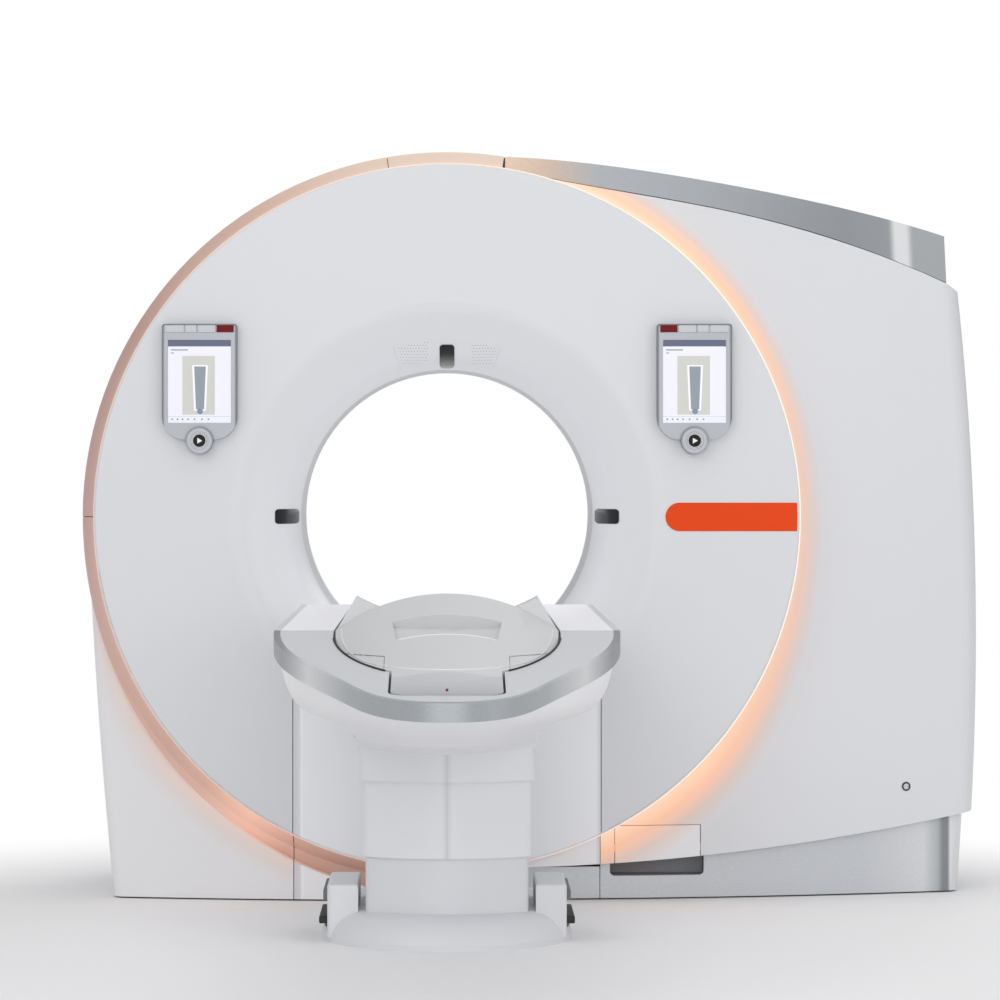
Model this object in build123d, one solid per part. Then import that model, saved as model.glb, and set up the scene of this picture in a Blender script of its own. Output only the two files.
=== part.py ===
from build123d import *
import os
from math import atan, cos, degrees, radians, sin, sqrt

# Whole-body imaging scanner: a dual-tube ring gantry with a round front, and a patient table in front of it.
# Lengths are millimetres. The origin is on the floor under the centre of the scan plane.
# +X is the viewer's right, +Y runs from the table into the gantry, +Z is up.

# Gantry, main dimensions
iso_height = 1005
bore_radius = 390
skin = 6
seat = 0.3
seam = 2
disc_radius = 918
disc_front = -440
disc_edge_round = 6
disc_rim_back = -292
mouth_radius = 560
front_throat = -180
liner_front = -150
liner_rear = 200
liner_wall = 4
rear_throat = 230
rear_face = 470
rear_panel_face = 430
rim_radius = 955
rim_rear_radius = 930
band_front = -404
band_back = -360
band_shoulder = 20
rim_top_from = 81
rim_top_to = 99.5
lower_cutout_height = 993
cover_front = -395
cover_plan_radius = 4545
cover_corner = 60
cover_bottom = 4
side_floor_x = 1388
side_middle_x = 1412
side_top_x = 1320
side_top_z = 1950
side_shelf_z = 1595
cap_end_x = 1330
left_floor_x = 876
left_middle_x = 922
left_top_x = 950
left_corner = 30
center_half_width = 400
center_arc_radius = 575
band_lip = 4
plinth_inset = 25
plinth_top = 225

# Lighting strip let into the edge of the disc
light_width = 18
light_depth = 4
light_front = -430

# Service hatch, its finger recess and the cover lock
hatch_left = 440
hatch_right = 664
hatch_top = 196
hatch_top_gap = 0.5
hatch_bar_low = 128
hatch_bar_high = 146
recess_left = 427
recess_right = 676
recess_bottom = 62
recess_top = 150
recess_depth = 60
recess_corner = 14
lock_x = 1219
lock_z = 287
lock_radius = 12
lock_length = 26

# Laser windows and speaker trim in the mouth of the bore
window_radius = 421
window_length = 58
window_width = 39
window_proud = 1.5
window_corner = 9
trim_inner_radius = 402
trim_outer_radius = 466
trim_half_angle = 17.5

# Coloured strip on the right of the disc
stripe_left = 568
stripe_height = 74
stripe_thickness = 1.5

# Touch panels
panel_x = 642
panel_top = 1506
panel_width = 195
panel_height = 300
panel_thickness = 26
panel_corner = 8
panel_chin = 60
screen_width = 164
screen_height = 216
screen_top = 1465
screen_pocket = 4
key_top = 1503
key_height = 19
key_pitch_gap = 3
key_proud = 2
key_travel = 1.5
key_pocket = 12
key_clear = 0.5
key_widths = (49, 30, 45, 45)
knob_z = 1203
knob_radius = 35
knob_proud = 8
start_radius = 19
start_clear = 0.5
start_proud = 2
start_travel = 2

# Gantry frame and rotor
plate_bottom = 20
plate_top = 50
foot_radius = 40
anchor_radius = 9
gantry_anchor_x = 650
gantry_anchor_front = -120
gantry_anchor_rear = 330
foot_front = 0
foot_columns = (-790, 0, 790, 1240)
upright_front = 170
upright_rear = 250
upright_radius = 800
upright_foot_half = 760
bearing_outer = 520.7
bearing_split = 474
bearing_bore = 440
drum_front = 60
drum_back = 100
drum_radius = 850
drum_rim = 15
drum_hub = 20
drum_hub_length = 18
drum_lip_front = -150
magnet_inner = 690
magnet_outer = 720
stator_gap = 0.5
stator_outer = 760
slip_ring_radius = 500
slip_ring_width = 30
unit_radius = 640
tube_radius = 92
tube_length = 190
unit_width = 190
neck_half = 40
slit_margin = 35
unit_height = 190
unit_depth = 150
detector_inner = 590
detector_outer = 690
detector_depth = 110
tube_angles = (120, 30)
detector_half_angles = (26, 18)
generator_angles = (75, 165)
exchanger_angle = 345
weight_angle = 255
collimator_radius = 500
collimator_width = 110
collimator_height = 60
collimator_depth = 90

# Patient table
table_rear = -626
table_seam = -2214
table_front = -2928
table_half_width = 370
rim_height = 784
rim_front_height = 671
band_height = 38
band_thickness = 14
top_thickness = 6
shell_wall = 5
column_half_width = 208
column_front = -1380
column_rear = -860
column_bulge = 75
column_corner = 45
column_wall = 6.2
column_gap = 0.8
upper_cover_bottom = 390
middle_cover_bottom = 209
middle_cover_top = 462
lower_cover_top = 300
bowl_bottom = 456
base_half_width = 302
base_front_centre = -1151
base_rear_centre = -860
base_top = 77
base_plate_thickness = 12
frame_bottom = 640
frame_plate = 12
beam_x = 185
beam_width = 60
beam_top = 700
guide_size = 150
guide_wall = 6
guide_clear = 0.4
guide_y = -1120
lower_guide_top = 340
middle_guide_bottom = 130
middle_guide_top = 455
upper_guide_bottom = 305

# Tabletop and its foot-end cap
top_rear_end = -480
cap_back = -2249
cap_half_width = 237
cap_reach = 441
cap_peak = 864
cap_slope = 0.33
cap_arch_radius = 416
tongue_half_width = 112
tongue_end = -2852
tongue_bottom = 668
cap_gap = 5
cradle_base = 745
cradle_top = 850
cradle_edge_half = 198
cradle_dip = 48
handle_front = 245
handle_back = 130
handle_half_back = 115
handle_half_front = 105
handle_depth = 24
rail_top = 738
rail_width = 24
carriage_length = 900

# Foot pedals
pedal_length = 250
pedal_y = -1120
pedal_levels = (("upper", 112, 26, 296), ("lower", 52, 18, 306))
pedal_axis_x = 276
pedal_end_round = 4
pedal_room_below = 12
cheek_inner = 212
cheek_outer = 286
cheek_top = 138
cheek_round = 12

# Outline of the side covers in front view, as heights and half widths, and how far they run past the rear
below_floor = -20
right_stations = ((below_floor, side_floor_x), (iso_height, side_middle_x), (side_top_z, side_top_x))
left_stations = ((below_floor, -left_floor_x), (iso_height / 2, -left_middle_x), (iso_height, -left_top_x))
far_rear = rear_panel_face + 40

# Upper edge of the white right cover, and the ridge of the silver cap behind it: X, Y and Z at five stations
cover_top_line = ((152, 1912), (450, 1857), (762, 1802), (1052, 1727), (1330, 1624))
ridge_line = ((152, -360, 1948), (450, -335, 1923), (762, -285, 1877), (1052, -226, 1822), (1330, -150, 1752))
cap_rear_fall = 22
cap_skin = 8
side_beyond = 1500

# Lower edge of the white right cover
cover_foot_line = ((0, 88), (458, 99), (1020, 155), (1430, 222))

# Air grille low in the rear right panel
grille_x = 1130
grille_z = 330
grille_width = 260
grille_slot = 12
grille_rows = 8
grille_pitch = 26

# Table housing details: each bowl plan is a height, half width, front point and start of the taper
bowl_plans = ((456, 208, -1380, -1240), (505, 214, -1800, -1500), (549, 222, -2214, -1800),
              (600, 293, -2640, -2050), (650, 337, -2880, -2180), (784, 364, -2922, -2214))
bowl_rear_grow = -258
end_bend_width = 0.554
end_bend_length = 0.244
beam_front = -2180
beam_rear = -760
rail_front = -2140
tie_width = 80
tongue_corner = 26
tongue_rear = -2560
cap_belly_half = 128
handle_sink = 4
cradle_base_half = 205
rail_grip = 26
carriage_front = -2130
gate_bottom = 655

# Table foot details
table_anchor_x = 180
table_anchor_y = 210
base_foot_height = 14
base_shoulder_height = 52
base_shoulder = 22
base_run = 70
channel_half = 110
channel_height = 58


def box(x0, x1, y0, y1, z0, z1):
    """Block between two corners."""
    return Pos((x0 + x1) / 2, (y0 + y1) / 2, (z0 + z1) / 2) * Box(x1 - x0, y1 - y0, z1 - z0)


def outline(*curves):
    """Flat face inside curves that join end to end."""
    return make_face([edge for curve in curves for edge in curve.edges()])


def front_prism(face, y0, y1):
    """Front-view outline (X, Z) run from y0 to y1."""
    return extrude(Plane.XZ.offset(-y0) * face, amount=-(y1 - y0))


def side_prism(face, x0, x1):
    """Side-view outline (Y, Z) run from x0 to x1."""
    return extrude(Plane.YZ.offset(x0) * face, amount=x1 - x0)


def plan_prism(face, z0, z1):
    """Plan outline (X, Y) run from z0 to z1."""
    return extrude(Plane.XY.offset(z0) * face, amount=z1 - z0)


def turned(face):
    """Profile (radius, Y) turned about the scan axis."""
    return Pos(0, 0, iso_height) * revolve(face, Axis.Y, 360)


def ring(inner, outer, y0, y1):
    """Plain ring about the scan axis."""
    return turned(make_face(Polyline((inner, y0), (outer, y0), (outer, y1), (inner, y1), close=True)))


def bore_cylinder(radius, y0, y1):
    """Solid cylinder about the scan axis."""
    return Pos(0, (y0 + y1) / 2, iso_height) * Rot(X=90) * Cylinder(radius, y1 - y0)


def wedge(start, end, y0, y1):
    """Sector about the scan axis between two angles, counted from +X towards +Z."""
    reach = 2 * rim_radius
    angles = [start + (end - start) * step / 4 for step in range(5)]
    corners = [(reach * cos(radians(a)), iso_height + reach * sin(radians(a))) for a in angles]
    return front_prism(make_face(Polyline((0, iso_height), *corners, close=True)), y0, y1)


def around(part, angle):
    """Turn a part built at twelve o'clock to another angle about the scan axis."""
    return Pos(0, 0, iso_height) * Rot(Y=90 - angle) * Pos(0, 0, -iso_height) * part


def save(name, *shapes):
    """Write one named piece, or several like pieces as separate solids of one group."""
    solids = [solid for shape in shapes for solid in shape.solids()]
    whole = shapes[0] if len(shapes) == 1 else Compound(children=solids)
    export_step(whole, f"parts/{name}.step")


def cover_surface_y(x):
    """Y of the covers' front surface, an arc in plan."""
    return cover_front + cover_plan_radius - sqrt(cover_plan_radius ** 2 - x ** 2)


def mouth(rim_y, throat_y, inset):
    """Quarter ellipse from the flat face to the throat of the bore, moved back by a wall."""
    depth = abs(throat_y - rim_y) - inset
    side = 1 if rim_y > throat_y else -1
    start = 90 if side > 0 else 180
    width = mouth_radius - bore_radius - inset
    return EllipticalCenterArc((mouth_radius, throat_y), width, depth, start_angle=start, arc_size=90)


def disc_profile():
    """Section of the front disc: rim wall, flat face and bell mouth."""
    outer = mouth(disc_front, front_throat, 0)
    inner = mouth(disc_front, front_throat, skin)
    face_y = disc_front + skin
    edge = disc_radius - disc_edge_round
    return outline(
        Line((disc_radius, disc_rim_back), (disc_radius, disc_front + disc_edge_round)),
        CenterArc((edge, disc_front + disc_edge_round), disc_edge_round, 270, 90),
        Line((edge, disc_front), (mouth_radius, disc_front)),
        outer,
        Polyline((bore_radius, front_throat), (bore_radius, liner_front), (bore_radius + skin, liner_front),
                 (bore_radius + skin, front_throat)),
        inner,
        Polyline((mouth_radius, face_y), (disc_radius - skin, face_y), (disc_radius - skin, disc_rim_back),
                 (disc_radius, disc_rim_back)),
    )


def rear_profile():
    """Section of the rear drum cover: rim, rounded shoulder, flat face and bell mouth."""
    rim = rim_rear_radius - skin - seat
    outer = mouth(rear_face, rear_throat, 0)
    inner = mouth(rear_face, rear_throat, skin)
    shoulder = rear_face - rear_panel_face
    face_y = rear_face - skin
    lip = rear_panel_face - skin
    return outline(
        Line((rim, lip), (rim, rear_panel_face)),
        CenterArc((rim - shoulder, rear_panel_face), shoulder, 0, 90),
        Line((rim - shoulder, rear_face), (mouth_radius, rear_face)),
        outer,
        Polyline((bore_radius, rear_throat), (bore_radius, liner_rear), (bore_radius + skin, liner_rear),
                 (bore_radius + skin, rear_throat)),
        inner,
        Line((mouth_radius, face_y), (rim - shoulder, face_y)),
        CenterArc((rim - shoulder, rear_panel_face), shoulder - skin, 90, -90),
        Polyline((rim - skin, rear_panel_face), (rim - skin, lip), (rim, lip)),
    )


def mouth_shell(proud, wall):
    """Bell mouth only, standing proud of the disc's skin by a small height."""
    outer = mouth(disc_front, front_throat, -proud)
    inner = mouth(disc_front, front_throat, wall - proud)
    return turned(outline(
        outer,
        Line((mouth_radius, disc_front - proud), (mouth_radius, disc_front - proud + wall)),
        inner,
        Line((bore_radius + wall - proud, front_throat), (bore_radius - proud, front_throat)),
    ))


def rim_profile():
    """Section of the drum side: light band cone, shoulder and tapering side wall."""
    start = disc_radius + seat
    return make_face(Polyline(
        (start, band_front), (rim_radius, band_back), (rim_radius, band_back + band_shoulder),
        (rim_rear_radius, rear_panel_face), (rim_rear_radius - skin, rear_panel_face),
        (rim_radius - skin, band_back + band_shoulder), (rim_radius - skin, band_back + skin / 2),
        (start, band_front + skin), close=True))


def lower_band_profile():
    """Section of the lower band: cone, flat flange that meets the lower cover, and a skirt behind."""
    start = disc_radius + seat
    flange = lower_cutout_height + skin
    flange_y = band_back + skin
    return make_face(Polyline(
        (start, band_front), (rim_radius, band_back), (flange, flange_y), (flange, flange_y + skin),
        (rim_radius, band_back + skin), (rim_radius, disc_rim_back), (rim_radius - skin, disc_rim_back),
        (rim_radius - skin, band_back + skin / 2), (start, band_front + skin), close=True))


def side_solid(stations, corner, inset, rear):
    """Solid inside one side of the covers, lofted through plans at three heights.

    Each station is a height and the X of the side wall there.
    """
    sections = []
    for height, side_x in stations:
        sign = 1 if side_x > 0 else -1
        side = side_x - sign * inset
        radius = cover_plan_radius - inset
        centre_y = cover_front + cover_plan_radius
        side_y = centre_y - sqrt(radius ** 2 - side ** 2)
        middle = side / 2
        middle_y = centre_y - sqrt(radius ** 2 - middle ** 2)
        face = outline(
            ThreePointArc((0, cover_front + inset), (middle, middle_y), (side, side_y)),
            Polyline((side, side_y), (side, rear), (0, rear), (0, cover_front + inset)),
        )
        across = face.vertices().sort_by(Axis.X)
        front_corner = across[-2:] if sign > 0 else across[:2]
        face = fillet(front_corner.sort_by(Axis.Y)[0], corner - inset)
        sections.append(Plane.XY.offset(height) * face)
    return loft(sections)


def right_solid(inset, rear=rear_panel_face):
    """Space inside the right covers, inset from their outer face."""
    return side_solid(right_stations, cover_corner, inset, rear)


def left_solid(inset, rear=rear_panel_face):
    """Space inside the left lower cover, inset from its outer face."""
    return side_solid(left_stations, left_corner, inset, rear)


def cap_rear_z(station):
    """Height of the cap's rear edge: it falls with the drum's taper on the left and is level on the right."""
    x, _, z = station
    return z - cap_rear_fall * (cap_end_x - x) / cap_end_x


def right_cover_front():
    """Front-view outline of the right covers above their foot line."""
    top_right = (side_beyond, cover_top_line[-1][1] - (side_beyond - cap_end_x) * 0.62)
    return outline(
        Spline(*cover_foot_line),
        Polyline(cover_foot_line[-1], (side_beyond, cover_foot_line[-1][1]), top_right, cover_top_line[-1]),
        Spline(*reversed(cover_top_line)),
        Polyline(cover_top_line[0], (0, cover_top_line[0][1]), cover_foot_line[0]),
    )


def hem_front():
    """Front view of the cover's hem: a strip along the foot line."""
    raised = [(x, z + skin) for x, z in cover_foot_line]
    return outline(
        Spline(*cover_foot_line), Line(cover_foot_line[-1], raised[-1]), Spline(*reversed(raised)),
        Line(raised[0], cover_foot_line[0]))


def cap_section(top_point, ridge_point):
    """Section of the silver cap in a plane of constant X: bevel, ridge and roof."""
    x, foot_z = top_point
    _, ridge_y, ridge_z = ridge_point
    foot_y = cover_surface_y(x)
    foot_z = foot_z + seam
    rear_z = cap_rear_z(ridge_point)
    points = (
        (foot_y, foot_z), (ridge_y, ridge_z), (rear_panel_face, rear_z), (rear_panel_face, rear_z - cap_skin),
        (ridge_y + cap_skin / 2, ridge_z - cap_skin), (foot_y + cap_skin, foot_z))
    return Plane.YZ.offset(x) * make_face(Polyline(*points, close=True))


def cap_end():
    """Right end wall of the cap, down to the shelf of the right cover."""
    x, ridge_y, ridge_z = ridge_line[-1]
    foot_y = cover_surface_y(x) + cap_skin
    rear_z = cap_rear_z(ridge_line[-1]) - cap_skin
    shelf = side_shelf_z + seat
    wall = make_face(Polyline(
        (foot_y, cover_top_line[-1][1] + seam), (ridge_y + cap_skin / 2, ridge_z - cap_skin),
        (rear_panel_face, rear_z),
        (rear_panel_face, shelf), (foot_y + cap_skin, shelf), close=True))
    return side_prism(wall, x - cap_skin, x)


def gantry_covers():
    """Front disc, bands, side covers, silver cap and plinth, with their seams."""
    inside_y = cover_front - 100
    disc_cut = bore_cylinder(disc_radius + seam + 1, inside_y, disc_rim_back)
    disc = turned(disc_profile())
    lamp = ring(disc_radius - light_depth, disc_radius, light_front, light_front + light_width)
    disc = disc - lamp
    panel_zone = bore_cylinder(side_beyond, inside_y - 60, disc_rim_back + 1) - bore_cylinder(
        center_arc_radius, inside_y - 60, disc_rim_back + 1)
    left_edge, right_edge = -center_half_width, center_half_width
    zone = box(left_edge, right_edge, inside_y - 60, disc_rim_back + 1, 0, iso_height) & panel_zone
    wide = bore_cylinder(side_beyond, inside_y - 60, disc_rim_back + 1) - bore_cylinder(
        center_arc_radius - seam, inside_y - 60, disc_rim_back + 1)
    wide_box = box(left_edge - seam, right_edge + seam, inside_y - 60, disc_rim_back + 1, 0, iso_height)
    wide_zone = wide_box & wide
    lamp_light = ring(disc_radius - light_depth + seat, disc_radius - seat, light_front + seat,
                      light_front + light_width - seat)
    center_disc = disc & zone
    front_disc = disc - wide_zone
    save("light_ring", lamp_light - (wide_zone - box(left_edge, right_edge, -700, 0, 0, iso_height)))

    rim = turned(rim_profile())
    gap = 0.06
    rim_y = (band_front - 20, rear_panel_face + 20)
    rim_top = rim & wedge(rim_top_from, rim_top_to - gap, *rim_y)
    rim_left = rim & wedge(rim_top_to + gap, 180 - gap, *rim_y)
    band = turned(lower_band_profile())
    cutout = front_prism(Pos(0, iso_height) * Ellipse(rim_radius, lower_cutout_height),
                         inside_y - 20, disc_rim_back + 2)
    inner_cutout = front_prism(
        Pos(0, iso_height) * Ellipse(rim_radius - seat, lower_cutout_height - seat),
        inside_y - 20, disc_rim_back + 2)
    lip_core = front_prism(Pos(0, iso_height) * Ellipse(
        rim_radius - seat - band_lip, lower_cutout_height - seat - band_lip),
        inside_y - 20, disc_rim_back + 2)
    lip_space = box(-side_beyond, 0, inside_y, band_back + skin, 0, iso_height)
    lip = (inner_cutout - lip_core) & left_solid(seat) & lip_space
    band = (band & inner_cutout) + lip
    band = band & box(-side_beyond, -seam / 2, inside_y, 0, 0, iso_height - seam / 2)
    band_left = band - box(left_edge - seam, 0, inside_y, 0, 0, iso_height)
    band_center = band & box(left_edge, 0, inside_y, 0, 0, iso_height)
    save("rim_covers", rim_top, rim_left, band_left, band_center)

    left_shell = left_solid(0) - left_solid(skin, far_rear) - cutout
    lower_left = box(-side_beyond, left_edge - seam, inside_y, rear_panel_face + 1,
                     cover_bottom, iso_height - seam)
    save("left_lower_cover", left_shell & lower_left)
    center_left = left_shell & box(left_edge, -seam / 2, inside_y, 0, cover_bottom, iso_height)

    shelf = box(cap_end_x, side_beyond, inside_y, far_rear + 1, side_shelf_z, side_top_z + 50)
    hollow = right_solid(skin, far_rear) - shelf
    right_shell = (right_solid(0) - hollow) & front_prism(right_cover_front(), inside_y, rear_panel_face + 1)
    right_shell = right_shell - disc_cut
    top_z = cover_top_line[0][1] + 20
    right_cover = right_shell & box(right_edge + seam, side_beyond, inside_y, rear_panel_face + 1, 0, top_z)
    right_cover += right_shell & box(cover_top_line[0][0], right_edge + seam, inside_y, 0, iso_height, top_z)
    flap_zone = box(hatch_left, hatch_right, inside_y, 0, 0, hatch_top)
    flap_hole = box(hatch_left - seam, hatch_right + seam, inside_y, 0, 0, hatch_top + hatch_top_gap)
    save("hatch_flap", right_shell & flap_zone)
    bar = (right_solid(skin - 1) - right_solid(2 * skin)) & box(
        right_edge + seam, hatch_right + 4 * skin, inside_y, 0, hatch_bar_low, hatch_bar_high)
    bar -= (right_solid(0) - right_solid(skin + seat)) & flap_hole
    hem = right_solid(skin - 1) - right_solid(plinth_inset - seat) - disc_cut
    hem &= front_prism(hem_front(), inside_y, rear_panel_face - 1)
    center_hem = hem & box(seam / 2, right_edge, inside_y, 0, 0, iso_height)
    right_cover = (right_cover - flap_hole) + bar - lock_cylinder(lock_radius + seat)
    save("right_cover", right_cover)
    center_right = (right_shell & box(seam / 2, right_edge, inside_y, 0, 0, iso_height)) + center_hem
    save("center_front_panel", center_disc, center_left, center_right)
    save("cover_lock", lock_barrel())

    plinth = right_solid(plinth_inset) - right_solid(plinth_inset + skin, far_rear) - disc_cut
    mouth_face = RectangleRounded(recess_right - recess_left, recess_top - recess_bottom, recess_corner)
    mouth_place = Pos((recess_left + recess_right) / 2, (recess_bottom + recess_top) / 2)
    mouth_hole = front_prism(mouth_place * mouth_face, inside_y, 0)
    right_plinth = plinth & box(right_edge + seam, side_beyond, inside_y, rear_panel_face + 1,
                                cover_bottom, plinth_top)
    center_plinth = plinth & box(seam / 2, right_edge, inside_y, 0, cover_bottom, iso_height - disc_radius)
    save("plinth", right_plinth - mouth_hole, center_plinth, recess_bin())

    cap = loft([cap_section(*pair) for pair in zip(cover_top_line, ridge_line)])
    save("top_silver_cap", cap + cap_end())
    return front_disc


def lock_place():
    """Plane on the right cover at the lock, its Z along the outward normal."""
    y = cover_surface_y(lock_x)
    slope = lock_x / sqrt(cover_plan_radius ** 2 - lock_x ** 2)
    return Plane(origin=(lock_x, y, lock_z), x_dir=(1, slope, 0), z_dir=(slope, -1, 0))


def lock_cylinder(radius):
    """Round bar through the right cover at the lock."""
    return lock_place() * Pos(0, 0, -lock_length / 2) * Cylinder(radius, 2 * lock_length)


def lock_barrel():
    """Quarter-turn lock: a barrel with a head, and a slot for the key."""
    barrel = Pos(0, 0, seat * 5 - lock_length / 2) * Cylinder(lock_radius, lock_length)
    slot = Pos(0, 0, seat * 5) * Box(lock_radius * 1.3, 3, 6)
    return lock_place() * (barrel - slot)


def recess_bin():
    """Moulded bin behind the plinth, open to the front, its front edge on the inside of the plinth."""
    wall = 3
    front_y = cover_surface_y(recess_left)
    back_y = cover_surface_y(recess_right) + plinth_inset + recess_depth
    outer = box(recess_left - wall, recess_right + wall, front_y, back_y,
                recess_bottom - wall, recess_top + wall)
    inner = box(recess_left, recess_right, front_y - 1, back_y - wall, recess_bottom, recess_top)
    return (outer - inner) & right_solid(plinth_inset + skin + seat)


def rear_covers():
    """Bore liner, rear drum cover and the two flat rear panels, with an air grille in the right one."""
    save("bore_liner", ring(bore_radius, bore_radius + liner_wall, liner_front, liner_rear))
    save("rear_drum_cover", turned(rear_profile()))
    back, front = rear_panel_face, rear_panel_face - skin
    drum = bore_cylinder(rim_rear_radius, front - 1, back + 1)
    slab = (front, back)
    roof = [(x, cap_rear_z((x, y, z)) - cap_skin - seat) for x, y, z in ridge_line]
    roof[-1] = (cap_end_x - cap_skin - seat, roof[-1][1])
    shelf = side_shelf_z - seat
    step = plinth_top + seat
    below_step = right_solid(plinth_inset + skin + seat)
    below_step &= box(seam / 2, side_beyond, *slab, cover_bottom, step)
    above_step = right_solid(skin + seat) & box(seam / 2, side_beyond, *slab, step, shelf)
    roof_face = outline(
        Spline(*roof),
        Polyline(roof[-1], (roof[-1][0], shelf), (seam / 2, shelf), (seam / 2, roof[0][1]), roof[0]),
    )
    right_panel = (below_step + above_step + front_prism(roof_face, front, back)) - drum
    slot = front_prism(SlotOverall(grille_width, grille_slot), front - 1, back + 1)
    for row in range(grille_rows):
        right_panel -= Pos(grille_x, 0, grille_z + row * grille_pitch) * slot
    left_panel = left_solid(skin + seat)
    left_panel &= box(-side_beyond, -seam / 2, *slab, cover_bottom, iso_height - seam)
    save("rear_panels", right_panel, left_panel - drum)


def laser_windows(front_disc):
    """Laser windows and speaker trim, let into the bell mouth; returns the disc with their holes."""
    lens_shell = mouth_shell(window_proud, skin)
    flush_shell = mouth_shell(0, skin)
    lenses = []
    y0, y1 = disc_front - 20, liner_front
    for angle in (90, 180, 0):
        place = Pos(0, iso_height + window_radius)
        hole_face = place * RectangleRounded(window_width, window_length, window_corner)
        turned_hole = around(front_prism(hole_face, y0, y1), angle)
        width, length = window_width - 2 * seat, window_length - 2 * seat
        turned_lens = around(front_prism(place * RectangleRounded(width, length, 9 - seat), y0, y1), angle)
        front_disc -= turned_hole
        lenses.append(lens_shell & turned_lens)
    save("laser_windows", *lenses)
    hole = wedge(90 - trim_half_angle, 90 + trim_half_angle, y0, y1) & (
        bore_cylinder(trim_outer_radius, y0, y1) - bore_cylinder(trim_inner_radius, y0, y1))
    margin = 0.05
    filler = wedge(90 - trim_half_angle + margin, 90 + trim_half_angle - margin, y0, y1) & (
        bore_cylinder(trim_outer_radius - seat, y0, y1) - bore_cylinder(trim_inner_radius + seat, y0, y1))
    lens_hole = front_prism(
        Pos(0, iso_height + window_radius) * RectangleRounded(window_width, window_length, 9), y0, y1)
    save("speaker_trim", (flush_shell & filler) - lens_hole)
    return front_disc - hole


def stripe():
    """Bare coloured strip: a round left end, the right end on the edge of the disc."""
    end = disc_radius - disc_edge_round - 1
    half = stripe_height / 2
    middle_x = (stripe_left + half + disc_radius) / 2
    body = Pos(middle_x, iso_height) * Rectangle(disc_radius - stripe_left - half, stripe_height)
    tip = Pos(stripe_left + half, iso_height) * Circle(half)
    face = (body + tip) & (Pos(0, iso_height) * Circle(end))
    save("stripe", front_prism(face, disc_front - stripe_thickness, disc_front))


def gantry_frame():
    """Welded floor frame with its upright ring, feet, bearing, drive stator and brush block."""
    left = left_solid(skin + seat, rear_panel_face - skin - seat)
    right = right_solid(plinth_inset + skin + seat, rear_panel_face - skin - seat)
    slab = box(-side_beyond, side_beyond, cover_front, far_rear, plate_bottom, plate_top)
    plate = (left + right) & slab
    legs = make_face(Polyline(
        (-upright_foot_half, plate_top), (upright_foot_half, plate_top), (upright_radius * 0.8, iso_height),
        (-upright_radius * 0.8, iso_height), close=True))
    upright = front_prism(legs, upright_front, upright_rear)
    upright += bore_cylinder(upright_radius, upright_front, upright_rear)
    upright -= bore_cylinder(bearing_outer, upright_front - 1, upright_rear + 1)
    band_room = bore_cylinder(lower_cutout_height + seam, cover_front - seam, disc_rim_back + seam)
    band_room &= box(-side_beyond, 0, cover_front - seam, 0, 0, iso_height)
    frame = plate - band_room + upright
    for x in (-gantry_anchor_x, gantry_anchor_x):
        for y in (gantry_anchor_front, gantry_anchor_rear):
            frame -= Pos(x, y, plate_top) * Cylinder(anchor_radius, 4 * plate_top)
    save("base_frame", frame)
    feet = [Pos(x, y, plate_bottom / 2) * Cylinder(foot_radius, plate_bottom) for x, y in foot_places()]
    save("levelling_feet", Compound(children=feet))
    race_back = upright_rear + seat * 10
    save("bearing_outer_race", ring(bearing_split + seat, bearing_outer, drum_back + seam * 10, race_back))
    stator_inner = magnet_outer + stator_gap
    save("drive_stator", ring(stator_inner, stator_outer, drum_back + seam, upright_front))
    block_low = iso_height + slip_ring_radius
    block = box(-60, 60, upright_rear, upright_rear + slip_ring_width + 4, block_low - 20, block_low + 70)
    save("brush_block", block - bore_cylinder(slip_ring_radius + seat, upright_rear - 1, far_rear)
         - bore_cylinder(bearing_outer + 1, upright_rear - 1, race_back + 1))


def foot_places():
    """Plan positions of the levelling feet, clear of the anchor holes."""
    return [(x, y) for x in foot_columns for y in (foot_front, gantry_anchor_rear)]


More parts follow.
